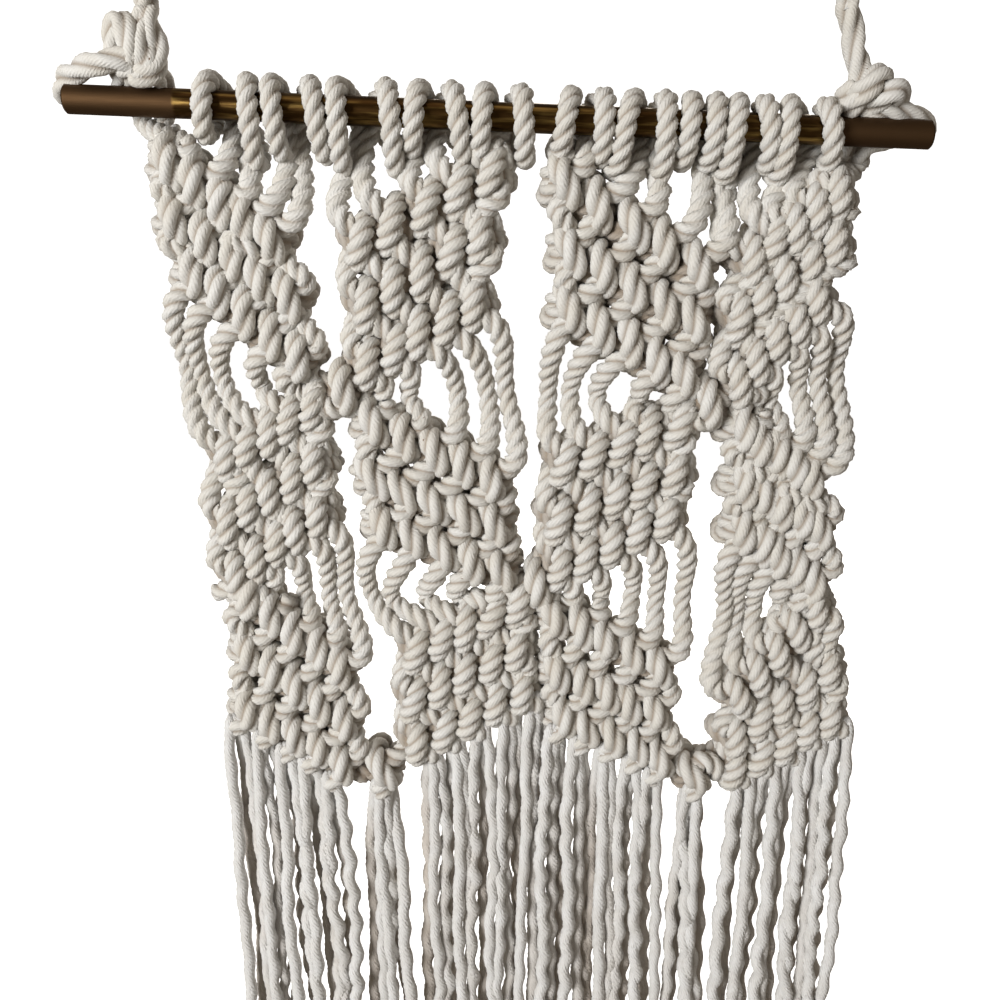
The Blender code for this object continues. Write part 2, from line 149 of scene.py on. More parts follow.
# Where each cord bows between two blocks, by its place from the left: (x, z), or None
# for a leader, which goes through a crossing knot.
BOWS = {
    ("A", 1): ((-93, -70), (-89.3, -72), (-83, -73), (-71, -77), (-60, -79), None),
    ("B", 1): (None, (-36.5, -82), (-27.5, -79), (-13, -77), (-4, -77), (1.5, -76)),
    ("C", 1): ((14.5, -80), (21, -77), (29, -79), (42, -80), (52, -82), None),
    ("D", 1): (None, (75.5, -82), (80.5, -80), (89, -75), (94.6, -73), (100.3, -71)),
    ("A", 2): ((-91, -143), (-81, -145), (-75, -145), (-62, -143), (-54, -145), (-48.8, -142)),
    ("B", 2): ((-41, -142), (-34.5, -144), (-24, -144), (-13.5, -144), (-3, -144), None),
    ("C", 2): (None, (22, -145), (32, -145), (42, -143), (49.3, -145), (57.8, -145)),
    ("D", 2): ((71.5, -148), (75.5, -150), (80.8, -148), (90.5, -147), (96.5, -147), (104, -144)),
}

# Crossing knots: (column left, column right, level above, x, z, slope of the leader)
CROSSINGS = (
    ("A", "B", 1, -47, -77, -0.75),
    ("C", "D", 1, 62, -81, -0.75),
    ("B", "C", 2, 11, -139, -0.6),
    ("A", "B", 3, -39, -204, -0.3),
    ("C", "D", 3, 64, -205, -0.3),
)

# Lark's heads: tops and low ends of both front turns
# (x_top_1, x_low_1, z_low_1, x_top_2, x_low_2, z_low_2), z from the rod's axis.
FRONT_TURNS = (
    (-80, -82, -8, -69, -68, -15),
    (-63, -61, -12, -52, -49, -12),
    (-45, -44, -15, -31, -29, -15),
    (-22, -25, -10, -13, -10, -11),
    (-4, -6, -10, 6, 7, -11),
    (20, 16, -9, 29, 28, -10),
    (37, 32, -13, 46, 45, -14),
    (53, 51, -10, 60, 58, -10),
    (66, 63, -13, 73, 75, -10),
    (80, 78, -13, 90, 92, -9),
)
# Where the two legs of each lark's head come down behind the rod: (x_1, x_2)
LEG_PLACES = (
    (-76, -73), (-60, -56), (-40, -36), (-20, -17), (-2, 2),
    (18, 23), (40, 43), (56, 59), (68, 73), (87, 91),
)
# Tails of the hanging rope behind the rod: (x, z)
TAIL_PLACES = ((-101.5, 2.5), (-95.5, 2.5), (98.5, -10.5), (102.8, -10.5))

# Route of the hanging rope, (x, z), from the left knot over the nail to the right one.
HANGER_ROUTE = (
    (-96.3, 30.4), (-84, 63), (-60.5, 106), (-31, 152), (-8.5, 189), (0, 199),
    (8.5, 189), (31, 151), (60, 104), (82.5, 61), (94.1, 27.6),
)

# Ropes of the two end knots, each a list of (x, y, z).
LEFT_KNOT = (
    ((-95.6, 0, 31.8), (-95.3, 0, 27.3), (-96.4, -2, 24.1), (-96.6, -4, 19.9), (-95.2, -5, 15.8),
     (-95.6, -5, 12.8), (-98.2, -4, 11.1)),
    ((-98.6, -4, 12.4), (-99.0, -5, 16.3), (-99.6, -5, 20.8), (-101.0, -3.5, 24.2),
     (-102.5, -2.5, 25.0), (-103.8, -2.5, 22.1), (-104.4, -3, 18.5), (-104.6, -1.5, 14.6),
     (-105.0, 2, 11.3), (-106.0, 6, 7.9)),
    ((-98.1, -4.5, 14.0), (-101.4, -6, 14.4), (-106.2, -6, 13.9), (-111.4, -4, 13.0),
     (-116.5, -1, 11.4), (-120.2, 2.5, 10.2), (-121.9, 5, 7.6), (-121.9, 7, 5.2),
     (-120.0, 8.8, 4.3), (-115, 9.2, 4.6), (-109, 9.2, 4.6), (-104, 8.6, 3.6), (-101.5, 8.4, 1.4)),
    ((-95.0, -1, 27.2), (-94.6, -2.5, 23.0), (-92.8, -3, 18.5), (-92.4, -3.5, 14.4),
     (-93.4, -4.5, 11.3), (-95.9, -5, 10.3), (-99.1, -4, 10.6)),
    ((-94.8, -4, 11.3), (-93.7, 0.5, 10.2), (-94.4, 6.4, 7.4), (-95.5, 8.4, 4.2), (-95.5, 8.4, 1.4)),
    ((-98.0, -4.5, 13.0), (-101.5, -3, 11.8), (-102.0, 2, 11.2), (-102.5, 6.5, 8.0)),
)
RIGHT_KNOT = (
    ((93.6, 0, 29.4), (94.2, 0, 27.2), (96.3, 0, 19.0), (98.2, -1, 11.5), (98.4, -3, 6.8),
     (96.5, -2, 3.0), (96.1, 1, 2.0)),
    ((94.6, 7.5, -1.5), (94.9, 4.5, 2.2), (95.8, 0, 4.0), (97.8, -4, 5.4), (100.2, -6, 8.2),
     (102.4, -4.8, 10.4), (104.4, -1, 10.6), (106.2, 3, 8.0)),
    ((100.8, 7.5, -1.5), (101.2, 4, 2.0), (102.4, 0, 3.4), (104.6, -4, 5.0), (107.0, -5, 6.7),
     (109.2, -2, 6.5), (110.4, 2.5, 4.0)),
    ((101.0, 1.5, 3.0), (105.0, 0, 2.2), (109.0, 0.6, 1.7), (113.0, 2.2, 0.9), (116.8, 4, 0.1),
     (120.3, 6.8, -1.8), (121.2, 8.8, -5.0), (117, 9.4, -5.0), (111, 9.2, -5.2),
     (105.8, 8.8, -7.0), (103.4, 8.4, -10.0), (102.8, 8.4, -12.6)),
    ((97.9, -2, 7.6), (95.2, -1, 5.2), (95.4, 2.5, 3.8), (97, 7, 0.5), (99, 8.6, -4),
     (98.8, 8.4, -9), (98.5, 8.4, -12.6)),
)

# Cords of each column's piece: a pair is one rope folded over the rod, and a single one is
# a tail of the hanging rope.
ROPES = {
    "a": ((0,), (1,), (2, 3), (4, 5)),
    "b": ((6, 7), (8, 9), (10, 11)),
    "c": ((12, 13), (14, 15), (16, 17)),
    "d": ((18, 19), (20, 21), (22,), (23,)),
}


def rod_height(x: float) -> float:
    """Height of the rod's axis at x, for the rod hangs a little tilted."""
    return -x * math.tan(ROD_TILT)


def to_frame(points: np.ndarray) -> np.ndarray:
    """Turn millimetres from the middle of the rod into metres in the frame."""
    return (np.asarray(points, float) - np.array([0.0, 0.0, ROD_DROP])) * MM


def knot_point(x: float, y: float, z: float, feel: Feel) -> tuple[float, ...]:
    """One row of a line: its place, swell, twist in turns a millimetre, and painted shade."""
    return (float(x), float(y), float(z), feel.swell, 1 / feel.lay, feel.depth)


def even_line(line: np.ndarray, step: float) -> np.ndarray:
    """Space a line's points evenly by arc length, with straight stretches between them.

    Args:
        line: The line.
        step: Distance between two new points, as near as it divides the length.

    Returns:
        The evenly spaced line.
    """
    reach = np.linalg.norm(np.diff(line[:, :3], axis=0), axis=1)
    reach = np.concatenate([[0.0], np.cumsum(reach)])
    places = np.linspace(0.0, reach[-1], max(FEWEST_POINTS, round(reach[-1] / step) + 1))
    return np.stack([np.interp(places, reach, column) for column in line.T], axis=1)


def smooth_line(points: list[tuple[float, ...]], step: float) -> np.ndarray:
    """Read evenly spaced points from a smooth curve through the given ones.

    Each stretch is a cubic Hermite curve on chord length, its end tangents the
    chord-weighted mean of the two slopes that meet there.

    Args:
        points: Rows of the line.
        step: Distance between the points that are read, in the same unit.

    Returns:
        The evenly spaced line.
    """
    points = np.asarray(points, float)
    chord = np.maximum(np.linalg.norm(np.diff(points[:, :3], axis=0), axis=1), LEAST_CHORD)
    slope = np.diff(points, axis=0) / chord[:, None]
    tangent = np.empty_like(points)
    tangent[0], tangent[-1] = slope[0], slope[-1]
    tangent[1:-1] = slope[:-1] * chord[1:, None] + slope[1:] * chord[:-1, None]
    tangent[1:-1] /= (chord[1:] + chord[:-1])[:, None]
    t = np.linspace(0.0, 1.0, READINGS, endpoint=False)[None, :, None]
    from_point, to_point = points[:-1, None], points[1:, None]
    leave = tangent[:-1, None] * chord[:, None, None]
    arrive = tangent[1:, None] * chord[:, None, None]
    fine = (2 * t**3 - 3 * t**2 + 1) * from_point + (t**3 - 2 * t**2 + t) * leave
    fine = fine + (3 * t**2 - 2 * t**3) * to_point + (t**3 - t**2) * arrive
    fine = np.concatenate([fine.reshape(-1, points.shape[1]), points[-1:]])
    return even_line(fine, step)


def soften(line: np.ndarray, rounds: int) -> np.ndarray:
    """Round off a line's bends: each point moves halfway to its two neighbours' mean.

    Args:
        line: The line.
        rounds: How often that is done.

    Returns:
        The rounded line, with the same ends.
    """
    line = line.copy()
    for _ in range(rounds):
        line[1:-1] = line[:-2] / 4 + line[1:-1] / 2 + line[2:] / 4
    return line


def carried_axes(points: np.ndarray) -> tuple[np.ndarray, np.ndarray]:
    """Carry a pair of axes along a path without letting them spin about it.

    Args:
        points: Places along the path, one row each.

    Returns:
        The two axes across the path, one row for each place.
    """
    tangent = np.gradient(points, axis=0)
    tangent /= np.linalg.norm(tangent, axis=1, keepdims=True)
    side = np.empty_like(points)
    axis = np.array(FIRST_SIDE)
    for index, along in enumerate(tangent):
        axis = axis - along * (axis @ along)
        axis = axis / math.sqrt(axis @ axis)
        side[index] = axis
    return side, np.cross(tangent, side)


def outwards(angle: np.ndarray, side: np.ndarray, across: np.ndarray) -> np.ndarray:
    """Directions out of a path at angles round it: cos(angle) side + sin(angle) across.

    Args:
        angle: Angles, shaped (rings, points in a ring).
        side: First axis across the path, one row for each ring.
        across: Second axis, a quarter turn on.

    Returns:
        The directions, shaped (rings, points in a ring, 3).
    """
    return np.cos(angle)[..., None] * side[:, None] + np.sin(angle)[..., None] * across[:, None]


@dataclass(frozen=True)
class Waver:
    """A soft unevenness along a strand, within plus or minus its size.

    Attributes:
        size: The most that it strays.
        period: About the length of one wave, in millimetres.
        shares: Periods of its three sines, in shares of that length.
    """

    size: float
    period: float
    shares: Place = (0.71, 1.0, 1.62)

    def along(self, reach: np.ndarray, chance: np.random.Generator) -> np.ndarray:
        """The mean of three sines with random phases, times the size.

        Args:
            reach: Lengths along the strand.
            chance: Where the phases are drawn from.

        Returns:
            The unevenness at each length.
        """
        total = np.zeros_like(reach)
        for share in self.shares:
            total += np.sin(TURN * reach / (self.period * share) + chance.uniform(0, MOST_PHASE))
        return self.size * (total / len(self.shares))


@dataclass
class Surface:
    """Grids of points joined into one mesh, with a UV map that follows each strand.

    Attributes:
        points: Places of its points, strand by strand.
        faces: Point numbers of its faces, four or three to a face.
        corners: U and V of the faces' corners.
        shades: Warm shade of its points.
        count: Number of its points so far.
    """

    points: list[np.ndarray] = field(default_factory=list)
    faces: list[np.ndarray] = field(default_factory=list)
    corners: list[np.ndarray] = field(default_factory=list)
    shades: list[np.ndarray] = field(default_factory=list)
    count: int = 0

    def add_strand(self, rings: np.ndarray, reach: np.ndarray, girth: float,
                   shade: np.ndarray) -> None:
        """Join rings of points into a closed strand, each end fanned in to its middle.

        Args:
            rings: Points, shaped (rings, points in a ring, 3), round by the right hand.
            reach: The UV map's U at each ring.
            girth: Distance round the strand, the UV map's V.
            shade: Warm shade of every point, 0 to 1, shaped (rings, points in a ring).
        """
        number, sides = rings.shape[:2]
        i, k = (a.ravel() for a in np.meshgrid(np.arange(number - 1), np.arange(sides), indexing="ij"))
        low, high = i * sides, (i + 1) * sides
        other = (k + 1) % sides
        quads = np.stack([low + k, low + other, high + other, high + k], axis=1)
        v = girth / sides
        near, far = reach[i], reach[i + 1]
        quad_uv = np.stack([near, k * v, near, (k + 1) * v, far, (k + 1) * v, far, k * v], axis=1)
        k = np.arange(sides)
        other = (k + 1) % sides
        last, middle = (number - 1) * sides, number * sides
        start = np.stack([other, k, np.full(sides, middle)], axis=1)
        end = np.stack([last + k, last + other, np.full(sides, middle + 1)], axis=1)
        none = np.zeros(sides)
        fan_uv = np.stack([none, (k + 1) * v, none, k * v, none, k * v], axis=1)
        along_u = np.array([1.0, 0.0, 1.0, 0.0, 1.0, 0.0])
        self.points += [rings.reshape(-1, 3), np.stack([rings[0].mean(axis=0), rings[-1].mean(axis=0)])]
        self.shades += [shade.ravel(), np.array([shade[0].mean(), shade[-1].mean()])]
        self.faces += [quads + self.count, start + self.count, end + self.count]
        self.corners += [quad_uv, fan_uv + reach[0] * along_u, fan_uv + reach[-1] * along_u]
        self.count += number * sides + 2

    def build(self, name: str, material: Material, node: str, slot: str) -> bpy.types.Object:
        """Make the piece: smooth shaded, at the origin, riding on the root body.

        Args:
            name: Name of the piece.
            material: Its material.
            node: The solid that it stands for.
            slot: The record's material slot; not used.

        Returns:
            The new object.
        """
        sizes = np.concatenate([np.full(len(f), f.shape[1]) for f in self.faces])
        starts = np.concatenate([[0], np.cumsum(sizes)[:-1]])
        loops = np.concatenate([f.ravel() for f in self.faces])
        mesh = bpy.data.meshes.new(name)
        mesh.vertices.add(self.count)
        mesh.vertices.foreach_set("co", to_frame(np.concatenate(self.points)).astype(np.float32).ravel())
        mesh.loops.add(len(loops))
        mesh.loops.foreach_set("vertex_index", loops.astype(np.int32))
        mesh.polygons.add(len(sizes))
        mesh.polygons.foreach_set("loop_start", starts.astype(np.int32))
        mesh.update(calc_edges=True)
        layer = mesh.uv_layers.new(name="strand")
        layer.data.foreach_set("uv", np.concatenate([c.ravel() for c in self.corners]).astype(np.float32))
        shade = mesh.attributes.new("shade", "FLOAT", "POINT")
        shade.data.foreach_set("value", np.concatenate(self.shades).astype(np.float32))
        mesh.shade_smooth()
        mesh.materials.append(material)
        piece = bpy.data.objects.new(name, mesh)
        bpy.context.scene.collection.objects.link(piece)
        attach(piece, "root")
        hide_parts(node)
        log.info("%s: %d triangles", name, int((sizes - 2).sum()))
        return piece


@dataclass(frozen=True)
class LaidRope:
    """Three-ply rope whose plies climb to the right, swept along a line.

    Attributes:
        thin_radius: Radius at swell 0.
        fat_radius: Radius at swell 1.
        swell_limits: The least and the most swell, past which the line's is cut off.
        tight_ply: A ply's radius in fully laid rope, for a rope of radius 1.
        open_ply: The same where the rope isn't twisted.
        laid_twist: Twist of fully laid rope, in turns a millimetre.
        most_twist: The twist never passes this.
        points_per_ply: Points of the section on each ply.
        girth: Distance round the rope that the yarn pattern is given.
        step: Distance between two rings.
        softness: Rounds of softening that the line gets.
        groove_shade: Shade at the bottom of the grooves between plies.
        groove_power: How fast that shade sets in.
        long_waver: Unevenness of the radius.
        short_waver: Finer unevenness of the radius.
        ply_waver: Unevenness of each ply on its own.
    """

    thin_radius: float = 2.65
    fat_radius: float = 3.35
    swell_limits: tuple[float, float] = (-3.0, 2.2)
    tight_ply: float = 0.60
    open_ply: float = 0.49
    laid_twist: float = 0.09
    most_twist: float = 0.11
    points_per_ply: int = 6
    girth: float = 22.0
    step: float = 1.2
    softness: int = 4
    groove_shade: float = 0.9
    groove_power: float = 2.4
    long_waver: Waver = Waver(0.03, 9.0)
    short_waver: Waver = Waver(0.015, 3.0)
    ply_waver: Waver = Waver(0.05, 6.0)

    def outline(self, twist: np.ndarray) -> tuple[np.ndarray, np.ndarray]:
        """Section of a rope of radius 1.

        A ply is a circle of radius q whose middle lies c = 1 - q out, so that
        r = c cos(a) + sqrt(q^2 - c^2 sin(a)^2). The less twist, the rounder the plies.

        Args:
            twist: Twist at each ring, in turns a millimetre.

        Returns:
            Angles of the section's points, and their radii with one row for each ring.
        """
        laid = np.clip(twist / self.laid_twist, 0, 1)
        ply = self.open_ply + (self.tight_ply - self.open_ply) * laid
        edge = 180.0 / PLIES
        lobe = np.radians(np.linspace(-edge, edge, self.points_per_ply, endpoint=False))
        place = 1.0 - ply[:, None]
        radius = place * np.cos(lobe) + np.sqrt(ply[:, None] ** 2 - (place * np.sin(lobe)) ** 2)
        turns = np.arange(PLIES) * TURN / PLIES
        return (lobe[None, :] + turns[:, None]).ravel(), np.tile(radius, (1, PLIES))

    def sweep(self, surface: Surface, line: np.ndarray, seed: int) -> None:
        """Carry the section along a line, turning with the lay.

        A point at length s and angle a of the section lies r(s) outline(a) from the
        line, in the direction that is a + turn(s) round it. turn(s) adds up the twist.

        Args:
            surface: The mesh that the rope is added to.
            line: The rope's line.
            seed: Seed of its own unevenness.
        """
        chance = np.random.default_rng(seed)
        line = soften(even_line(line, self.step), self.softness)
        points, twist = line[:, :3], line[:, TWIST]
        swell = np.clip(line[:, SWELL], *self.swell_limits)
        side, across = carried_axes(points)
        reach = np.arange(len(points)) * self.step
        laid = np.clip(twist, 0.0, self.most_twist)
        turn = chance.uniform(0, MOST_PHASE) + np.cumsum(TURN * self.step * laid)
        radius = self.thin_radius + (self.fat_radius - self.thin_radius) * swell
        radius = radius * (1 + self.long_waver.along(reach, chance) + self.short_waver.along(reach, chance))
        angles, outline = self.outline(twist)
        plies = np.stack([self.ply_waver.along(reach, chance) for _ in range(PLIES)], axis=1)
        uneven = 1 + np.repeat(plies, self.points_per_ply, axis=1)
        out = outwards(angles[None, :] + turn[:, None], side, across)
        rings = points[:, None] + (radius[:, None] * outline * uneven)[..., None] * out
        groove = (1 - outline) / (1 - outline.min(axis=1, keepdims=True))
        # Painted shade: darker towards the bottom of each groove between plies, plus the line's own painted
        # shade where it lies hidden in a knot.
        shade = self.groove_shade * groove**self.groove_power + line[:, PAINTED_SHADE, None]
        start = PATTERN_LENGTH * chance.uniform()
        surface.add_strand(rings, reach + start, self.girth, np.clip(shade, 0.0, 1.0))


@dataclass(frozen=True)
class Hitch:
    """A double half hitch seen from its riding side, in its own directions.

    Each point is (s, p, f): along the leader, up across it and towards the viewer, in
    millimetres, for a leader that runs down to the right. The cord comes in from
    above, dives under the riding turn, goes behind, over the top, rides down across
    the front, goes behind again and leaves under the riding turn.

    Attributes:
        way_in: Where the cord comes in.
        under: Where it dives under the riding turn and goes behind.
        riding: The riding turn.
        back: Where it goes behind again and comes out under the riding turn.
        way_out: Where it leaves.
        fullness: Swell at each point of the riding turn, in shares of its most.
        leader_in: The leader's way into the row's first knot.
        heart: Where the leader runs through a knot.
        leader_out: The leader's way out of the row's last knot.
    """

    way_in: Place = (1.6, 6.4, 6.0)
    under: tuple[Place, ...] = (
        (-0.7, 3.0, 5.0), (-2.4, -0.8, 4.8), (-3.2, -3.8, 2.8), (-3.1, -4.3, -1.8),
        (-3.1, -0.4, -4.8), (-3.4, 3.8, -3.0),
    )
    riding: tuple[Place, ...] = (
        (-4.1, 5.3, 1.6), (-3.5, 4.2, 6.2), (-1.8, 1.9, 8.6), (0.0, -0.2, 9.1),
        (1.9, -2.3, 8.4), (3.4, -4.3, 6.2), (3.9, -5.3, 2.0),
    )
    back: tuple[Place, ...] = (
        (3.4, -3.9, -2.8), (3.1, 0.4, -4.8), (3.3, 4.1, -2.4), (3.4, 4.2, 1.4),
        (2.4, 1.2, 4.2), (0.9, -2.6, 4.9),
    )
    way_out: Place = (-1.5, -6.6, 6.4)
    fullness: tuple[float, ...] = (0.4, 0.7, 0.95, 1.0, 1.0, 0.95, 0.6)
    leader_in: tuple[Place, ...] = (
        (-3.4, 5.4, 5.4), (-5.4, 1.4, 3.6), (-4.2, -0.8, 0.8),
    )
    heart: Place = (0.0, 0.0, 0.0)
    leader_out: tuple[Place, ...] = ((4.2, -0.8, 0.4), (5.4, -2.4, 3.2))


HITCHES = {
    Slant.LEFT: Hitch(),
    Slant.RIGHT: Hitch(
        way_in=(3.0, 6.8, 7.2),
        under=((-0.7, 3.0, 5.0), (-2.4, -0.8, 4.8), (-3.2, -3.8, 2.8), (-3.1, -4.3, -1.8),
               (-2.5, -0.2, -4.8), (-1.7, 4.8, -3.6)),
        riding=((-4.5, 5.8, 1.4), (-4.3, 5.2, 5.6), (-2.8, 3.4, 8.6), (-0.6, 1.3, 9.6),
                (1.6, -0.8, 9.0), (3.4, -2.7, 6.8), (3.9, -3.7, 2.4)),
        back=((3.9, -5.2, -2.2), (3.3, -0.6, -4.8), (3.3, 4.1, -2.4), (3.4, 4.0, 1.4),
              (2.6, 1.0, 4.4), (1.6, -2.8, 5.6)),
        way_out=(0.2, -6.6, 7.4),
    ),
}


@dataclass
class Net:
    """The knotted net: 24 cords tied block by block from the rod to the fringe.

    Attributes:
        knots_per_row: Hitches in a row, one for each cord but the leader.
        sway: How far a knot strays from its place.
        lean: How far it turns from its row, in radians.
        shake: How far each of its points strays.
        near: A knot whose way in is this near its cord's last point shares one with it.
        bow_lift: How far free cords lie before the net's plane.
        bow_sway: How far they stray from that depth.
        chance: Where the unevenness is drawn from.
        cords: Rows of every cord's line so far, cord by cord.
        order: Numbers of the cords that each column holds now, from the left.
    """

    knots_per_row: int = 5
    sway: float = 0.35
    lean: float = 0.09
    shake: float = 0.18
    near: float = 7.2
    bow_lift: float = 1.0
    bow_sway: float = 0.8
    chance: np.random.Generator = field(default_factory=lambda: np.random.default_rng(7))
    cords: list[list[tuple[float, ...]]] = field(default_factory=list)
    order: dict[str, list[int]] = field(default_factory=dict)

    def local(self, middle: np.ndarray, along: np.ndarray, slant: Slant, place: Place) -> Place:
        """Place in the net of a point of a knot.

        Args:
            middle: Middle of the knot, (x, z).
            along: The leader's direction there, of length 1.
            slant: The way the leader runs.
            place: The point in the knot's own directions, (s, p, f).

        Returns:
            The point's x, y and z.
        """
        s, p, f = place
        p = p * slant.value
        x = middle[0] + s * along[0] - p * along[1]
        return (x, NET_PLANE - f, middle[1] + s * along[1] + p * along[0])

    def lead(self, cord: int, middle: np.ndarray, along: np.ndarray, slant: Slant,
             places: tuple[Place, ...], feel: Feel) -> None:
        """Take a leader through points of a knot.

        Args:
            cord: Number of the leader.
            middle: Middle of the knot, (x, z).
            along: The leader's direction there, of length 1.
            slant: The way it runs.
            places: The points in the knot's own directions, (s, p, f).
            feel: How the leader is there.
        """
        for place in places:
            self.cords[cord].append(knot_point(*self.local(middle, along, slant, place), feel))

    def tie(self, cord: int, middle: np.ndarray, along: np.ndarray, slant: Slant,
            under: Feel = UNDER) -> None:
        """Tie one cord onto the leader at a middle, with a double half hitch.

        Args:
            cord: Number of the cord that is tied.
            middle: Middle of the knot, (x, z).
            along: The leader's direction there, of length 1.
            slant: The way the leader runs.
            under: How the cord is where the riding turn lies on it.
        """
        path, hitch = self.cords[cord], HITCHES[slant]
        turn = self.chance.normal(0, self.lean)
        along = np.array([along[0] * math.cos(turn) - along[1] * math.sin(turn),
                          along[0] * math.sin(turn) + along[1] * math.cos(turn)])
        middle = middle + self.chance.normal(0, self.sway, 2)
        lobe = knot_point(*self.local(middle, along, slant, hitch.way_in), LOBE)
        if math.dist(path[-1][:3], lobe[:3]) < self.near:
            path[-1] = tuple((a + b) / 2 for a, b in zip(path[-1], lobe))
        else:
            path.append(lobe)
        open_ride = OPENED if slant is Slant.RIGHT else RIDING
        ride = [Feel(open_ride.swell * full, open_ride.lay) for full in hitch.fullness]
        feels = [under] * 3 + [BEHIND] * 3 + ride + [SUNKEN] + [BEHIND] * 3 + [under, LOBE, LOBE]
        places = hitch.under + hitch.riding + hitch.back + (hitch.way_out,)
        for place, feel in zip(places, feels):
            shaken = tuple(np.array(place) + self.chance.normal(0, self.shake, 3))
            path.append(knot_point(*self.local(middle, along, slant, shaken), feel))

    def tie_row(self, column: str, row: tuple[float, float, float, float], slant: Slant) -> None:
        """Tie one row: the outer cord becomes the leader and the other five are hitched on.

        Args:
            column: Letter of the column.
            row: Middles of the row's first and last knots.
            slant: The way the row runs.
        """
        order, hitch = self.order[column], HITCHES[slant]
        leader = order[0] if slant is Slant.RIGHT else order[-1]
        tied = order[1:] if slant is Slant.RIGHT else order[-2::-1]
        first, last = np.array(row[:2], float), np.array(row[2:], float)
        along = (last - first) / np.linalg.norm(last - first)
        self.lead(leader, first, along, slant, hitch.leader_in, EDGE)
        for knot, cord in enumerate(tied):
            middle = first + (last - first) * knot / (self.knots_per_row - 1)
            inside = 0 < knot < self.knots_per_row - 1
            self.lead(leader, middle, along, slant, (hitch.heart,), LEADING if inside else OUTER)
            self.tie(cord, middle, along, slant, UNDER if knot else OUTER)
        self.lead(leader, last, along, slant, hitch.leader_out, EDGE)
        if slant is Slant.RIGHT:
            self.order[column] = order[1:] + [leader]
        else:
            self.order[column] = [leader] + order[:-1]

    def cross(self, left: str, right: str, place: tuple[float, float], slope: float) -> None:
        """Hitch the right column's leader onto the left column's and let them change sides.

        Args:
            left: Letter of the left column.
            right: Letter of the right column.
            place: Middle of the knot, (x, z).
            slope: How far the leader that is tied on rises for each millimetre to the right.
        """
        over, under = self.order[right][0], self.order[left][-1]
        along = np.array([1.0, slope]) / math.hypot(1.0, slope)
        middle = np.array(place, float)
        self.lead(under, middle, along, Slant.RIGHT, (HITCHES[Slant.RIGHT].heart,), LEADING)
        self.tie(over, middle, along, Slant.RIGHT)
        self.order[right][0], self.order[left][-1] = under, over

    def bow(self, column: str, level: int) -> None:
        """Let a column's cords fall free between two blocks.

        Args:
            column: Letter of the column.
            level: The block above, counted from the rod.
        """
        for cord, place in zip(self.order[column], BOWS[column, level]):
            if place is not None:
                y = NET_PLANE - self.bow_lift + self.chance.normal(0, self.bow_sway)
                self.cords[cord].append(knot_point(place[0], y, place[1], FREE))

    def tie_all(self) -> None:
        """Tie the three levels of all four columns, top to bottom."""
        for level in (1, 2, 3):
            for number, column in enumerate(COLUMNS):
                falls_right = (number % 2 == 0) == (level != 2)
                slant = Slant.RIGHT if falls_right else Slant.LEFT
                for row in BLOCK_ROWS[f"{column}{level}"]:
                    self.tie_row(column, row, slant)
            for column in COLUMNS:
                if (column, level) in BOWS:
                    self.bow(column, level)
            for left, right, above, x, z, slope in CROSSINGS:
                if above == level:
                    self.cross(left, right, (x, z), slope)


@dataclass(frozen=True)
class LarksHeads:
    """Ropes folded over the rod, each pulled through its own bight behind it.

    Attributes:
        reach: From the rod's axis to the rope's middle, where it lies on the rod.
        bar_reach: The same for the bar behind, which crosses both legs.
        bar_drop: How far the bar hangs below the axis.
        bend: How far the rope's turn into the bar stays above and behind its low end.
        leg_gap: How far the leg falls clear of the rope that lies on the rod.
        leg_drop: How far below the axis the leg starts to hang free.
        stops: Angles at which the turn is read, from 180 at its low end in front.
    """

    reach: float = 6.5
    bar_reach: float = 13.0
    bar_drop: float = 2.0
    bend: float = 3.0
    leg_gap: float = 0.6
    leg_drop: float = 1.0
    stops: tuple[int, ...] = (180, 150, 120, 90, 60, 30, 0, -30, -60)

    def half(self, x_leg: float, x_top: float, x_low: float, z_low: float,
             x_bar: float) -> list[tuple[float, ...]]:
        """One half: from the bar behind, up the front, over the rod and down behind it.

        Args:
            x_leg: Where the rope comes down behind the rod.
            x_top: Where it goes over the rod.
            x_low: Where the front turn's low end is.
            z_low: Height of that low end from the rod's axis.
            x_bar: Middle of the bar behind.

        Returns:
            Rows of the rope's line.
        """
        outward = 1.0 if x_low > x_bar else -1.0
        turn_in = rod_height(x_low) + z_low + self.bend
        path = [
            knot_point(x_bar, self.bar_reach, rod_height(x_bar) - self.bar_drop, OVER_ROD),
            knot_point(x_low - outward, self.bar_reach - self.bend, turn_in, OVER_ROD),
        ]
        for degrees in self.stops:
            angle = math.radians(degrees)
            sag = max(0.0, -math.cos(angle)) * (-z_low - self.reach)
            if degrees > 0:
                x = x_top + (x_low - x_top) * degrees / 180
            else:
                x = x_top + (x_leg - x_top) * min(1.0, -degrees / 90)
            height = rod_height(x) + self.reach * math.cos(angle) - sag
            path.append(knot_point(x, -self.reach * math.sin(angle), height, OVER_ROD))
        path.append(knot_point(x_leg, self.reach + self.leg_gap, rod_height(x_leg) - self.leg_drop, FREE))
        return path


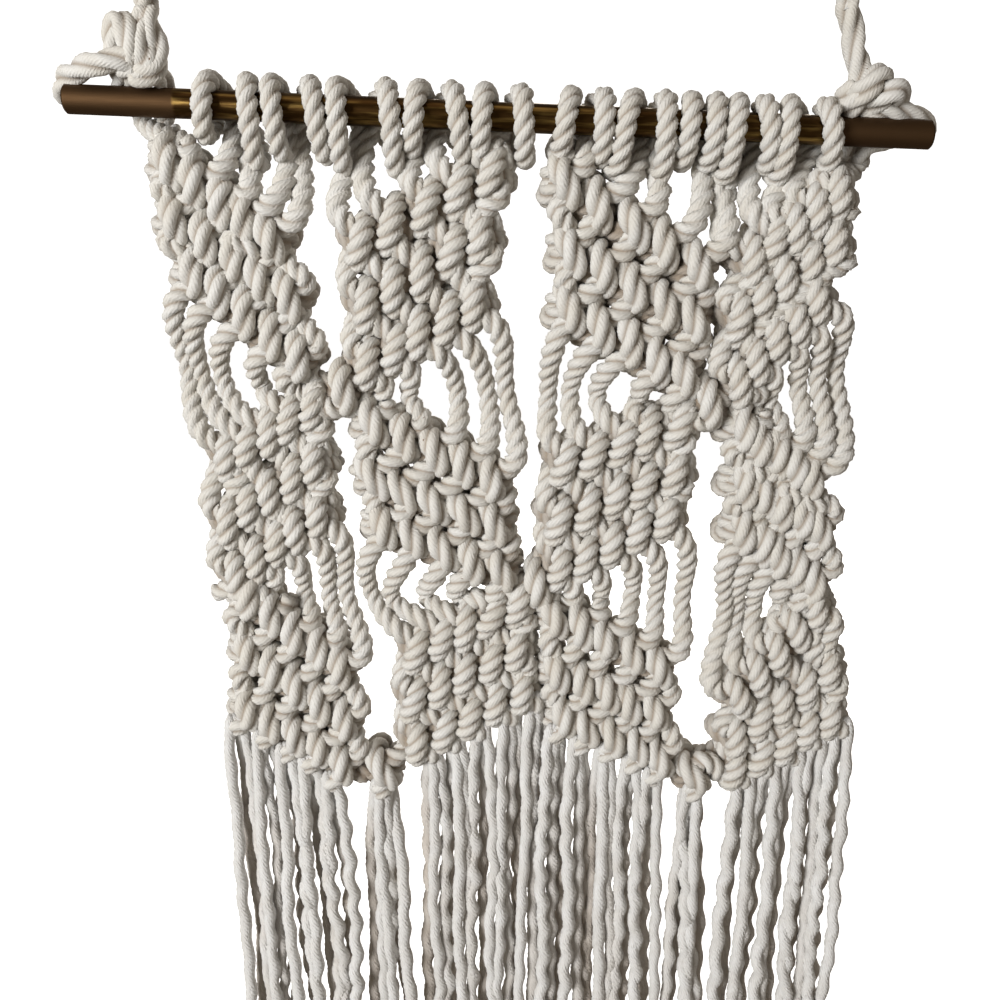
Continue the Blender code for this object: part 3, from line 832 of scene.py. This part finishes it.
@dataclass(frozen=True)
class Fringe:
    """Ends of the cords opened into their plies, still wavy from the lay.

    Attributes:
        end: Mean height of the plies' ends.
        end_sway: How far an end strays from it.
        first_x: Where the first cord's middle ply ends.
        last_x: Where the last cord's does.
        end_stray: How far a cord's end strays sideways.
        ply_stray: How far a ply's does.
        moved: Cords that hang further to the right than their rank gives, and how far.
        depths: Depths of a cord's three plies, one of these by chance.
        tuck: How far before and above a cord's last point its plies start.
        close: How far apart they leave it.
        spread: How far apart they hang.
        opening: About the length in which they open.
        wave: Radius of a ply's wave.
        wave_sizes: The least and the most share of it that a ply has.
        at_start: Share of that radius where a ply starts.
        period: Length of one wave.
        period_sizes: The least and the most share of it that a ply has.
        phase_waver: Unevenness of the wave's phase, in radians.
        wave_waver: Unevenness of its radius.
        side_waver: Slow drift sideways.
        depth_waver: Slow drift in depth.
        ply_radius: Radius of a ply.
        ply_sizes: The least and the most share of it that a ply has.
        thinner: How much less of it a ply has where it starts.
        bead: How much thicker it is on one side of each wave, and the phase of that.
        girth_waver: Unevenness of the radius.
        low_cap: Length of the rounded lower end, and the radius's share left there.
        high_cap: The same at the upper end.
        turning: Turns of the section for each wave.
        sides: Points of a ring.
        step: Distance between two rings.
        girth: Distance round the ply that the yarn pattern is given.
        depth_shade: Shade for each millimetre behind the rod's axis.
        seed: Seed of the first cord.
    """

    end: float = -390.0
    end_sway: float = 2.5
    first_x: float = -84.6
    last_x: float = 113.4
    end_stray: float = 0.8
    ply_stray: float = 0.7
    moved: tuple[tuple[int, float], ...] = (
        (5, -3.0), (6, 2.2), (7, 1.5), (17, -1.2), (18, 4.6), (19, -1.2),
    )
    depths: tuple[Place, ...] = (
        (0.2, 6.8, 2.6), (2.4, 6.8, 0.2), (0.2, 6.6, 0.6), (0.4, 3.6, 7.0), (7.0, 1.0, 2.8),
    )
    tuck: tuple[float, float] = (0.6, 5.0)
    close: float = 1.3
    spread: float = 3.25
    opening: float = 18.0
    wave: float = 0.62
    wave_sizes: tuple[float, float] = (0.3, 1.15)
    at_start: float = 0.15
    period: float = 12.6
    period_sizes: tuple[float, float] = (0.85, 1.2)
    phase_waver: Waver = Waver(0.5, 50)
    wave_waver: Waver = Waver(0.4, 70)
    side_waver: Waver = Waver(1.1, 80)
    depth_waver: Waver = Waver(0.6, 45)
    ply_radius: float = 2.05
    ply_sizes: tuple[float, float] = (0.92, 1.1)
    thinner: float = 0.15
    bead: tuple[float, float] = (0.07, 1.2)
    girth_waver: Waver = Waver(0.06, 14)
    low_cap: tuple[float, float] = (2.0, 0.45)
    high_cap: tuple[float, float] = (4.0, 0.3)
    turning: float = 0.5
    sides: int = 9
    step: float = 1.8
    girth: float = 11.6
    depth_shade: float = 0.1
    seed: int = 100

    def hang(self, surface: Surface, start: Place, rank: int) -> None:
        """Hang one cord's three plies.

        Args:
            surface: The mesh that the plies are added to.
            start: Where the cord's last knot lets it go.
            rank: The cord's place from the left, 0 to 23.
        """
        chance = np.random.default_rng(self.seed + rank)
        last_rank = len(COLUMNS) * CORDS_PER_COLUMN - 1
        x_low = self.first_x + (self.last_x - self.first_x) * rank / last_rank
        x_low += chance.normal(0, self.end_stray) + dict(self.moved).get(rank, 0.0)
        depths = self.depths[chance.integers(len(self.depths))]
        for side, depth in zip((-1, 0, 1), depths):
            self.hang_ply(surface, start, side, (x_low, depth), chance)

    def hang_ply(self, surface: Surface, start: Place, side: int, low: tuple[float, float],
                 chance: np.random.Generator) -> None:
        """Hang one ply.

        Its middle line is the straight fall from the knot to its own place below, plus a
        slow drift and a helix of the wave's radius, which starts small. A ring has the
        ply's radius there, round the line's own axes.

        Args:
            surface: The mesh that it is added to.
            start: Where the cord's last knot lets it go.
            side: -1, 0 or 1 for the left, middle and right ply.
            low: Where the cord's middle ply ends, x, and the ply's own depth, y.
            chance: Where the unevenness is drawn from.
        """
        x, y, z = start[0], start[1] - self.tuck[0], start[2] + self.tuck[1]
        fall = np.arange(0.0, z - (self.end + chance.normal(0, self.end_sway)), self.step)
        share = fall / fall[-1]
        ease = 1 - np.exp(-fall / self.opening)
        x_end = low[0] + side * self.spread + chance.normal(0, self.ply_stray)
        period = self.period * chance.uniform(*self.period_sizes)
        phase = chance.uniform(0, MOST_PHASE) + TURN * fall / period
        phase = phase + self.phase_waver.along(fall, chance)
        wave = self.wave * chance.uniform(*self.wave_sizes) * (self.at_start + (1 - self.at_start) * ease)
        wave = wave * (1 + self.wave_waver.along(fall, chance))
        apart = side * (1 - share) * (self.close + (self.spread - self.close) * ease)
        drift = ease * self.side_waver.along(fall, chance)
        sink = (low[1] - y) * ease + ease * self.depth_waver.along(fall, chance)
        line = np.stack([x + (x_end - x) * share + apart + wave * np.cos(phase) + drift,
                         y + sink + wave * np.sin(phase), z - fall], axis=1)
        radius = self.ply_radius * chance.uniform(*self.ply_sizes)
        radius = radius * (1 - self.thinner + self.thinner * ease)
        bead = self.bead[0] * np.sin(phase + self.bead[1])
        radius = radius * (1 + bead + self.girth_waver.along(fall, chance))
        radius = radius * np.clip((fall[-1] - fall) / self.low_cap[0] + self.low_cap[1], 0, 1)
        radius = radius * np.clip(fall / self.high_cap[0] + self.high_cap[1], 0, 1)
        angle = np.arange(self.sides)[None, :] * TURN / self.sides + phase[:, None] * self.turning
        rings = line[:, None] + radius[:, None, None] * outwards(angle, *carried_axes(line))
        shade = np.broadcast_to(self.depth_shade * line[:, 1:2].clip(0.0), rings.shape[:2])
        surface.add_strand(rings, fall + PATTERN_LENGTH * chance.uniform(), self.girth, shade)


@dataclass(frozen=True)
class Hanger:
    """The free stretch of the hanging rope, from knot to knot over a nail.

    Attributes:
        diameter: Diameter that the cord is given.
        step: Distance between two points of its route.
        seed: Seed of the rope's unevenness.
    """

    diameter: float = 6.0
    step: float = 4.0
    seed: int = 50

    def build(self, rope: LaidRope, material: Material) -> bpy.types.Object:
        """Args:
            rope: The rope that is swept along the route.
            material: Its material.

        Returns:
            The new object.
        """
        line = smooth_line([knot_point(x, 0.0, z, HANGING) for x, z in HANGER_ROUTE], self.step)
        surface = Surface()
        rope.sweep(surface, line, self.seed)
        piece = surface.build("hanging_rope", material, "hanger", "cotton")
        return piece


@dataclass(frozen=True)
class Rod:
    """A turned rod with bevelled ends, tilted with the hanging.

    Attributes:
        length: Length over both bevels.
        radius: Radius of the round.
        bevel: Size of the bevels.
        soft: How far a bevel's corners are rounded.
        face: Width of the ring on the end face.
        rim: Width of the ring that keeps its shading crisp.
        bands: Distances from a bevel of the rings that do the same for the round.
        sides: Points of a ring.
    """

    length: float = 240.0
    radius: float = 4.0
    bevel: float = 0.5
    soft: float = 0.04
    face: float = 0.6
    rim: float = 0.05
    bands: tuple[float, float] = (0.3, 4.0)
    sides: int = 48

    def build(self, material: Material) -> bpy.types.Object:
        """Turn the rod: rings of the profile's radius about an axis along x.

        Args:
            material: Its material.

        Returns:
            The new object.
        """
        half, inner = self.length / 2, self.radius - self.bevel
        profile = [(0.0, inner - self.face), (0.0, inner - self.rim), (self.soft, inner),
                   (self.bevel - self.soft, self.radius - self.soft), (self.bevel, self.radius)]
        profile += [(self.bevel + band, self.radius) for band in self.bands]
        places = [(-half + x, r) for x, r in profile] + [(half - x, r) for x, r in profile[::-1]]
        along, radius = np.array(places).T
        angle = -np.arange(self.sides) * TURN / self.sides
        ring = np.stack([np.zeros(self.sides), np.cos(angle), -np.sin(angle)], axis=1)
        ring = ring[None] * radius[:, None, None]
        tilt = np.stack([along, np.zeros_like(along), -along * math.tan(ROD_TILT)], axis=1)
        rings = ring + tilt[:, None]
        surface = Surface()
        surface.add_strand(rings, along, TURN * self.radius, np.zeros(rings.shape[:2]))
        return surface.build("brass_rod", material, "rod", "brass")


class Graph:
    """A node tree with short ways to add and join nodes."""

    def __init__(self, tree: bpy.types.NodeTree) -> None:
        """Keep the tree."""
        self.tree = tree

    def feed(self, node: bpy.types.Node, values: dict[str | int, object]) -> None:
        """Set or join a node's inputs.

        Args:
            node: The node.
            values: Input name or number to a value, or to a socket that feeds it.
        """
        for key, value in values.items():
            if isinstance(value, Socket):
                self.tree.links.new(value, node.inputs[key])
            else:
                node.inputs[key].default_value = value

    def add(self, kind: str, values: dict[str | int, object] | None = None,
            **settings: object) -> bpy.types.Node:
        """Add a node, set its settings, and set or join its inputs.

        Args:
            kind: The node's type, without the leading ShaderNode.
            values: Input name or number to a value, or to a socket that feeds it.
            settings: The node's own properties.

        Returns:
            The new node.
        """
        node = self.tree.nodes.new(f"ShaderNode{kind}")
        for name, value in settings.items():
            setattr(node, name, value)
        self.feed(node, values or {})
        return node

    def math(self, operation: str, first: object, second: object) -> Socket:
        """A Math node's output."""
        return self.add("Math", {0: first, 1: second}, operation=operation).outputs[0]

    def noise(self, vector: Socket, scale: float, detail: float = 2.0) -> Socket:
        """A Noise texture's value at a vector."""
        return self.add("TexNoise", {"Vector": vector, "Scale": scale, "Detail": detail}).outputs[0]

    def ramp(self, value: Socket, low: float, high: float) -> Socket:
        """A value brought from low..high to 0..1, and kept there."""
        values = {"Value": value, "From Min": low, "From Max": high}
        return self.add("MapRange", values, clamp=True).outputs[0]

    def mix(self, share: Socket, first: object, second: object) -> Socket:
        """Two colours mixed: the first at share 0 and the second at share 1."""
        values = {0: share, FIRST_COLOUR: first, SECOND_COLOUR: second}
        return self.add("Mix", values, data_type="RGBA").outputs[MIXED]


def new_material(name: str) -> tuple[Material, Graph, bpy.types.Node]:
    """Start a material.

    Args:
        name: Name of the material.

    Returns:
        The material, its graph and its Principled shader.
    """
    material = bpy.data.materials.new(name)
    material.use_nodes = True
    return material, Graph(material.node_tree), material.node_tree.nodes["Principled BSDF"]


@dataclass(frozen=True)
class Yarn:
    """Fine fibres that lean across a strand: a node group shared by rope and fringe.

    Fibres follow V + Lean * U = constant, a strand's own coordinates in millimetres.
    The group puts out a height, a soft tone and a mask of seed flecks.

    Attributes:
        fibre_gap: Distance between two fibres.
        bend: How far the fibres stray from a straight line.
        bend_scale: Scale of the noise that bends them.
        patch_scale: Scale of the patches in which they show.
        patch_range: Noise at which a patch starts, and at which it is full.
        fuzz_scale: Scale of the fuzz between the fibres.
        fuzz_detail: Its detail.
        fuzz_stretch: Share of its length that the fuzz keeps along a strand.
        fibre_share: Height of the fibres.
        fuzz_share: Height of the fuzz.
        tone_scale: Scale of the tone.
        fleck_scale: Scale of the cells that can hold a fleck.
        fleck_size: Radius of a fleck in its cell.
        fleck_rarity: Share of the cells that hold none.
    """

    fibre_gap: float = 1.15
    bend: float = 1.1
    bend_scale: float = 0.5
    patch_scale: float = 0.7
    patch_range: tuple[float, float] = (0.3, 0.65)
    fuzz_scale: float = 2.6
    fuzz_detail: float = 3.0
    fuzz_stretch: float = 0.4
    fibre_share: float = 0.3
    fuzz_share: float = 0.8
    tone_scale: float = 0.09
    fleck_scale: float = 0.16
    fleck_size: float = 0.035
    fleck_rarity: float = 0.8

    def build(self) -> bpy.types.NodeTree:
        """Make the node group.

        Returns:
            The node group, with inputs Strand and Lean and outputs Height, Tone and Fleck.
        """
        tree = bpy.data.node_groups.new("yarn", "ShaderNodeTree")
        tree.interface.new_socket("Strand", in_out="INPUT", socket_type="NodeSocketVector")
        tree.interface.new_socket("Lean", in_out="INPUT", socket_type="NodeSocketFloat")
        for name in ("Height", "Tone", "Fleck"):
            tree.interface.new_socket(name, in_out="OUTPUT", socket_type="NodeSocketFloat")
        graph = Graph(tree)
        given = tree.nodes.new("NodeGroupInput")
        strand = given.outputs["Strand"]
        split = graph.add("SeparateXYZ", {0: strand})
        along, round_it = split.outputs[0], split.outputs[1]
        across = graph.math("ADD", round_it, graph.math("MULTIPLY", along, given.outputs["Lean"]))
        drawn = {0: graph.math("MULTIPLY", along, self.fuzz_stretch), 1: across}
        fuzz = graph.noise(graph.add("CombineXYZ", drawn).outputs[0], self.fuzz_scale, self.fuzz_detail)
        bend = graph.math("MULTIPLY", graph.noise(strand, self.bend_scale), self.bend)
        wave = graph.math("MULTIPLY", graph.math("ADD", across, bend), TURN / self.fibre_gap)
        patch = graph.ramp(graph.noise(strand, self.patch_scale), *self.patch_range)
        fibres = graph.math("MULTIPLY", graph.math("SINE", wave, 0.0), patch)
        height = graph.math("ADD", graph.math("MULTIPLY", fibres, self.fibre_share),
                            graph.math("MULTIPLY", fuzz, self.fuzz_share))
        cells = graph.add("TexVoronoi", {"Vector": strand, "Scale": self.fleck_scale})
        speck = graph.math("LESS_THAN", cells.outputs["Distance"], self.fleck_size)
        draw = graph.add("SeparateColor", {0: cells.outputs["Color"]}).outputs[0]
        rare = graph.math("GREATER_THAN", draw, self.fleck_rarity)
        graph.feed(tree.nodes.new("NodeGroupOutput"), {
            "Height": height,
            "Tone": graph.noise(strand, self.tone_scale),
            "Fleck": graph.math("MULTIPLY", speck, rare),
        })
        return tree


@dataclass(frozen=True)
class Cotton:
    """Undyed cotton with fine fibres, darkened by painted shade in the grooves, in the knots and between
    the fibres.

    Attributes:
        name: Name of the material.
        lean: Lean of its fibres.
        relief: Depth of the fibres, in metres.
        light: Its colour where its tone is low.
        warm: Its colour where its tone is high.
        shaded: Its colour in full shade, deep in grooves and knots.
        fleck: Colour of the seed flecks.
        tone_range: Tone at which the warm colour starts, and at which it is full.
        shade_share: How much of that shade shows.
        line_range: Fibre height without shade, and in full shade.
        line_share: How much of the shade between the fibres shows.
        roughness: Roughness of the surface.
        sheen: Weight of its sheen.
        sheen_roughness: Roughness of its sheen.
    """

    name: str
    lean: float
    relief: float
    light: Colour = (0.68, 0.67, 0.64, 1)
    warm: Colour = (0.62, 0.595, 0.54, 1)
    shaded: Colour = (0.22, 0.16, 0.105, 1)
    fleck: Colour = (0.16, 0.10, 0.06, 1)
    tone_range: tuple[float, float] = (0.35, 0.65)
    shade_share: float = 0.85
    line_range: tuple[float, float] = (0.6, 0.1)
    line_share: float = 0.22
    roughness: float = 0.93
    sheen: float = 0.12
    sheen_roughness: float = 0.5

    def build(self, yarn: bpy.types.NodeTree) -> Material:
        """Make the material from the yarn group and the piece's UV map.

        Args:
            yarn: The yarn group.

        Returns:
            The new material.
        """
        material, graph, shader = new_material(self.name)
        strand = graph.add("UVMap", uv_map="strand").outputs[0]
        group = graph.add("Group", {"Strand": strand, "Lean": self.lean}, node_tree=yarn)
        tone = graph.mix(graph.ramp(group.outputs["Tone"], *self.tone_range), self.light, self.warm)
        # Painted shade: the shade attribute (grooves and hidden rope) and the gaps between the fibres mix
        # the colour towards the shaded brown.
        depth = graph.add("Attribute", attribute_name="shade").outputs["Fac"]
        between = graph.ramp(group.outputs["Height"], *self.line_range)
        shade = graph.math("MAXIMUM", graph.math("MULTIPLY", depth, self.shade_share),
                           graph.math("MULTIPLY", between, self.line_share))
        colour = graph.mix(group.outputs["Fleck"], graph.mix(shade, tone, self.shaded), self.fleck)
        bump = {"Height": group.outputs["Height"], "Strength": 1.0, "Distance": self.relief}
        graph.feed(shader, {
            "Base Color": colour,
            "Normal": graph.add("Bump", bump).outputs[0],
            "Roughness": self.roughness,
            "Sheen Weight": self.sheen,
            "Sheen Roughness": self.sheen_roughness,
        })
        return material


# The rope's cotton is darker and warmer than the plies': partly the opened plies' own lighter, more neutral
# colour, partly painted shade that tones down the knots, which the lamps light more strongly than the
# fringe.
ROPE_COTTON = Cotton("cotton_rope", lean=1.4, relief=0.0002)
PLY_COTTON = Cotton("cotton_ply", lean=1.04, relief=0.0004, light=(0.745, 0.745, 0.735, 1),
                    warm=(0.68, 0.67, 0.645, 1), shaded=(0.36, 0.275, 0.195, 1))


@dataclass(frozen=True)
class Brass:
    """Dark brass: satin brown at the ends, darker between them, with painted gold glints streaked along the
    middle.

    Attributes:
        brown: Colour of the satin ends.
        dark: Colour of the middle.
        gold: Colour of its painted glints, which stand in for reflections on the polished middle.
        left_edge: Where the middle starts, in metres.
        right_edge: Where it ends.
        blur: How far each of these edges fades to both sides.
        streak_scales: Scales of the streaks along, into and up the rod.
        glint_noise: Scale of the noise of the painted glints, and its detail.
        glint_range: Its value at which a painted glint starts, and at which it is full.
        satin: Roughness of the ends.
        polish: How much smoother the middle is.
        brushing: How much rougher a streak is.
        brush_noise: Scale of these streaks, and their detail.
        groove_noise: The same for the streaks that are felt.
        groove_depth: Their depth, in metres.
        groove_strength: Strength of their relief.
    """

    brown: Colour = (0.082, 0.046, 0.022, 1)
    dark: Colour = (0.068, 0.035, 0.011, 1)
    gold: Colour = (0.33, 0.215, 0.065, 1)
    left_edge: float = -0.0895
    right_edge: float = 0.091
    blur: float = 0.0005
    streak_scales: Place = (60.0, 500.0, 800.0)
    glint_noise: tuple[float, float] = (1.0, 3.0)
    glint_range: tuple[float, float] = (0.48, 0.76)
    satin: float = 0.56
    polish: float = 0.3
    brushing: float = 0.12
    brush_noise: tuple[float, float] = (2.0, 3.0)
    groove_noise: tuple[float, float] = (3.0, 2.0)
    groove_depth: float = 0.0001
    groove_strength: float = 0.25

    def build(self) -> Material:
        """Make the material: bands along x, and streaks along the rod of painted gold glints, roughness and
        relief, from Object coordinates.

        Returns:
            The new material.
        """
        material, graph, shader = new_material("dark_brass")
        place = graph.add("TexCoord").outputs["Object"]
        x, y, z = graph.add("SeparateXYZ", {0: place}).outputs
        after_left = graph.ramp(x, self.left_edge - self.blur, self.left_edge + self.blur)
        before_right = graph.ramp(x, self.right_edge + self.blur, self.right_edge - self.blur)
        inside = graph.math("MULTIPLY", after_left, before_right)
        level = graph.math("ADD", z, graph.math("MULTIPLY", x, math.tan(ROD_TILT)))
        scaled = {number: graph.math("MULTIPLY", side, scale)
                  for number, (side, scale) in enumerate(zip((x, y, level), self.streak_scales))}
        streaks = graph.add("CombineXYZ", scaled).outputs[0]
        # Painted glints: gold streaks along the middle that stand in for its reflections.
        painted_glint = graph.ramp(graph.noise(streaks, *self.glint_noise), *self.glint_range)
        painted_glint = graph.math("MULTIPLY", painted_glint, inside)
        smooth = graph.math("SUBTRACT", self.satin, graph.math("MULTIPLY", inside, self.polish))
        brushed = graph.math("MULTIPLY", graph.noise(streaks, *self.brush_noise), self.brushing)
        bump = {"Height": graph.noise(streaks, *self.groove_noise), "Strength": self.groove_strength,
                "Distance": self.groove_depth}
        graph.feed(shader, {
            "Base Color": graph.mix(painted_glint, graph.mix(inside, self.brown, self.dark), self.gold),
            "Metallic": 1.0,
            "Roughness": graph.math("ADD", smooth, brushed),
            "Normal": graph.add("Bump", bump).outputs[0],
        })
        return material


@dataclass(frozen=True)
class Lamp:
    """A square area light.

    Attributes:
        name: Its name.
        place: Where it hangs, in metres.
        size: Length of its side, in metres.
        power: Its power, in watts.
        colour: Its colour.
    """

    name: str
    place: Place
    size: float
    power: float
    colour: Place = (1.0, 1.0, 1.0)

    def build(self, target: Place) -> None:
        """Hang the lamp so that it faces a place.

        Args:
            target: The place, in metres.
        """
        light = bpy.data.lights.new(self.name, "AREA")
        light.color = self.colour
        light.size, light.energy = self.size, self.power
        lamp = bpy.data.objects.new(self.name, light)
        lamp.location = self.place
        x, y, z = (aim - at for aim, at in zip(target, self.place))
        lamp.rotation_euler = (math.atan2(math.hypot(x, y), -z), 0.0, math.atan2(y, x) - math.pi / 2)
        bpy.context.scene.collection.objects.link(lamp)


@dataclass(frozen=True)
class Studio:
    """Camera, soft light, pale floor and white backdrop, in metres.

    Attributes:
        camera_place: Where the camera stands.
        camera_pitch: How far it looks down, in degrees.
        lens: Its focal length in millimetres.
        nearest: Distance from which it sees.
        middle: Middle of the net, which the lamps face.
        lamps: The lamps.
        sky: Colour of the light from all round.
        sky_strength: Its strength.
        floor_height: Height of the floor.
        floor_radius: Radius of the floor.
        floor_sides: Its sides.
        dome_radius: Radius of the backdrop.
        dome_sides: Its sides, and its rings.
        pale: Colour of both.
        glow: Colour of the light that both give off.
        floor_glow: How much of it the floor gives off.
        dome_glow: The same for the backdrop.
    """

    camera_place: Place = (0.0, -0.3227, -0.2084)
    camera_pitch: float = 17.0
    lens: float = 39.6
    nearest: float = 0.01
    middle: Place = (0.0, 0.0, -0.32)
    lamps: tuple[Lamp, ...] = (
        Lamp("key", (-0.8, -1.0, -0.08), 0.5, 20.0),
        Lamp("fill", (0.8, -0.7, -0.55), 0.9, 0.9, (1.0, 0.9, 0.8)),
        Lamp("top", (-0.1, -0.2, 0.6), 0.5, 0.6, (1.0, 0.85, 0.7)),
        Lamp("back", (0.35, 1.1, 0.0), 0.9, 9.0, (1.0, 0.95, 0.88)),
    )
    sky: Colour = (1.0, 0.89, 0.76, 1)
    sky_strength: float = 0.165
    floor_height: float = -0.66
    floor_radius: float = 3.0
    floor_sides: int = 96
    dome_radius: float = 2.9
    dome_sides: tuple[int, int] = (64, 32)
    pale: Colour = (0.9, 0.9, 0.9, 1)
    glow: Colour = (1, 1, 1, 1)
    floor_glow: float = 0.9
    dome_glow: float = 1.0

    def place_camera(self) -> None:
        """Put the camera before the hanging, a little below the rod, looking down."""
        camera = bpy.data.objects.new("camera", bpy.data.cameras.new("camera"))
        camera.data.lens = self.lens
        camera.data.clip_start = self.nearest
        camera.location = self.camera_place
        camera.rotation_euler = (math.radians(90 - self.camera_pitch), 0.0, 0.0)
        bpy.context.scene.collection.objects.link(camera)
        bpy.context.scene.camera = camera

    def add_stage(self, name: str, glow: float) -> None:
        """Make the object that was just added a stage that only the camera sees.

        Args:
            name: Its name.
            glow: How much light it gives off.
        """
        material, graph, shader = new_material(f"pale_{name}")
        graph.feed(shader, {"Base Color": self.pale, "Emission Color": self.glow,
                            "Emission Strength": glow})
        stage = bpy.context.object
        stage.name = name
        stage.data.materials.append(material)
        stage.visible_diffuse = False
        stage.visible_glossy = False
        stage.visible_shadow = False

    def build(self) -> None:
        """Add the lamps, the light from all round, the floor and the domed backdrop."""
        for lamp in self.lamps:
            lamp.build(self.middle)
        world = bpy.data.worlds.new("studio")
        world.use_nodes = True
        world.node_tree.nodes["Background"].inputs["Color"].default_value = self.sky
        world.node_tree.nodes["Background"].inputs["Strength"].default_value = self.sky_strength
        bpy.context.scene.world = world
        bpy.ops.mesh.primitive_circle_add(vertices=self.floor_sides, radius=self.floor_radius,
                                          fill_type="NGON", location=(0.0, 0.0, self.floor_height))
        self.add_stage("floor", self.floor_glow)
        segments, rings = self.dome_sides
        bpy.ops.mesh.primitive_uv_sphere_add(segments=segments, ring_count=rings, radius=self.dome_radius)
        self.add_stage("backdrop", self.dome_glow)
        bpy.context.scene.view_settings.view_transform = "Standard"


@dataclass
class WallHanging:
    """The whole hanging: ropes tied on the rod, with fringe and end knots.

    Attributes:
        rope: The rope that everything is tied from.
        heads: The lark's heads on the rod.
        net: The knotted net.
        fringe: The fringe below it.
        tail_depth: How far behind the rod's axis the hanging rope's tails come down.
        tail_drop: How far each is led straight down there.
        tucks: How far behind and below its last point a cord's rope goes on, twice.
        fine_step: Distance between two points of a smooth line.
        knot_seed: Seed of the first rope of an end knot.
    """

    rope: LaidRope = field(default_factory=LaidRope)
    heads: LarksHeads = field(default_factory=LarksHeads)
    net: Net = field(default_factory=Net)
    fringe: Fringe = field(default_factory=Fringe)
    tail_depth: float = 8.0
    tail_drop: float = 3.0
    tucks: tuple[tuple[float, float], tuple[float, float]] = ((1.0, 1.2), (3.5, 3.6))
    fine_step: float = 0.8
    knot_seed: int = 60

    def tie(self) -> None:
        """Start the 24 cords behind the rod and tie the net."""
        tails = [[knot_point(x, self.tail_depth, z, TIED_OFF),
                  knot_point(x, self.tail_depth, z - self.tail_drop, TIED_OFF)] for x, z in TAIL_PLACES]
        halves = []
        for turns, legs in zip(FRONT_TURNS, LEG_PLACES):
            x_bar = (turns[1] + turns[4]) / 2
            halves.append(self.heads.half(legs[0], *turns[:3], x_bar))
            halves.append(self.heads.half(legs[1], *turns[3:], x_bar))
        self.net.cords += tails[:2] + halves + tails[2:]
        for number, column in enumerate(COLUMNS):
            first = CORDS_PER_COLUMN * number
            self.net.order[column] = list(range(first, first + CORDS_PER_COLUMN))
        self.net.tie_all()

    def build_ropes(self, rope_look: Material) -> None:
        """Build the net's ropes, by the column that they start in.

        Args:
            rope_look: Material of the ropes.
        """
        lines = []
        for cord in self.net.cords:
            x, y, z = cord[-1][:3]
            (back, drop), (last_back, last_drop) = self.tucks
            lines.append(cord + [knot_point(x, y + back, z - drop, FREE),
                                 knot_point(x, y + last_back, z - last_drop, PARTED)])
        for letter, ropes in ROPES.items():
            surface = Surface()
            for cords in ropes:
                path = lines[cords[0]]
                if len(cords) == 2:
                    path = path[::-1] + lines[cords[1]][1:]
                self.rope.sweep(surface, smooth_line(path, self.fine_step), cords[0])
            surface.build(f"ropes_{letter}", rope_look, "macrame_net", "cotton")

    def build_fringe(self, ply_look: Material) -> None:
        """Build the fringe, by the column that its cords end in.

        Args:
            ply_look: Material of the plies.
        """
        for number, column in enumerate(COLUMNS):
            surface, letter = Surface(), column.lower()
            for place, cord in enumerate(self.net.order[column]):
                end = self.net.cords[cord][-1][:3]
                self.fringe.hang(surface, end, CORDS_PER_COLUMN * number + place)
            surface.build(f"plies_{letter}", ply_look, f"fringe_{letter}", "cotton")

    def build_end_knots(self, rope_look: Material) -> None:
        """Build the knots that join the hanging rope to the ends of the rod.

        Args:
            rope_look: Material of the ropes.
        """
        for side, ropes in (("left", LEFT_KNOT), ("right", RIGHT_KNOT)):
            surface = Surface()
            for number, points in enumerate(ropes):
                line = smooth_line([knot_point(*point, KNOTTED) for point in points], self.fine_step)
                self.rope.sweep(surface, line, self.knot_seed + number)
            surface.build(f"knot_{side}", rope_look, f"hanger_knot_{side}", "cotton")


def main() -> None:
    """Build the scene in order: camera, hanging rope, rod, knots, net and fringe, studio."""
    logging.basicConfig(level=logging.INFO, format="%(message)s")
    studio = Studio()
    studio.place_camera()
    yarn = Yarn().build()
    rope_look, ply_look = ROPE_COTTON.build(yarn), PLY_COTTON.build(yarn)
    hanging = WallHanging()
    Hanger().build(hanging.rope, rope_look)
    Rod().build(Brass().build())
    hanging.build_end_knots(rope_look)
    hanging.tie()
    hanging.build_ropes(rope_look)
    hanging.build_fringe(ply_look)
    studio.build()


if __name__ == "__main__":
    main()
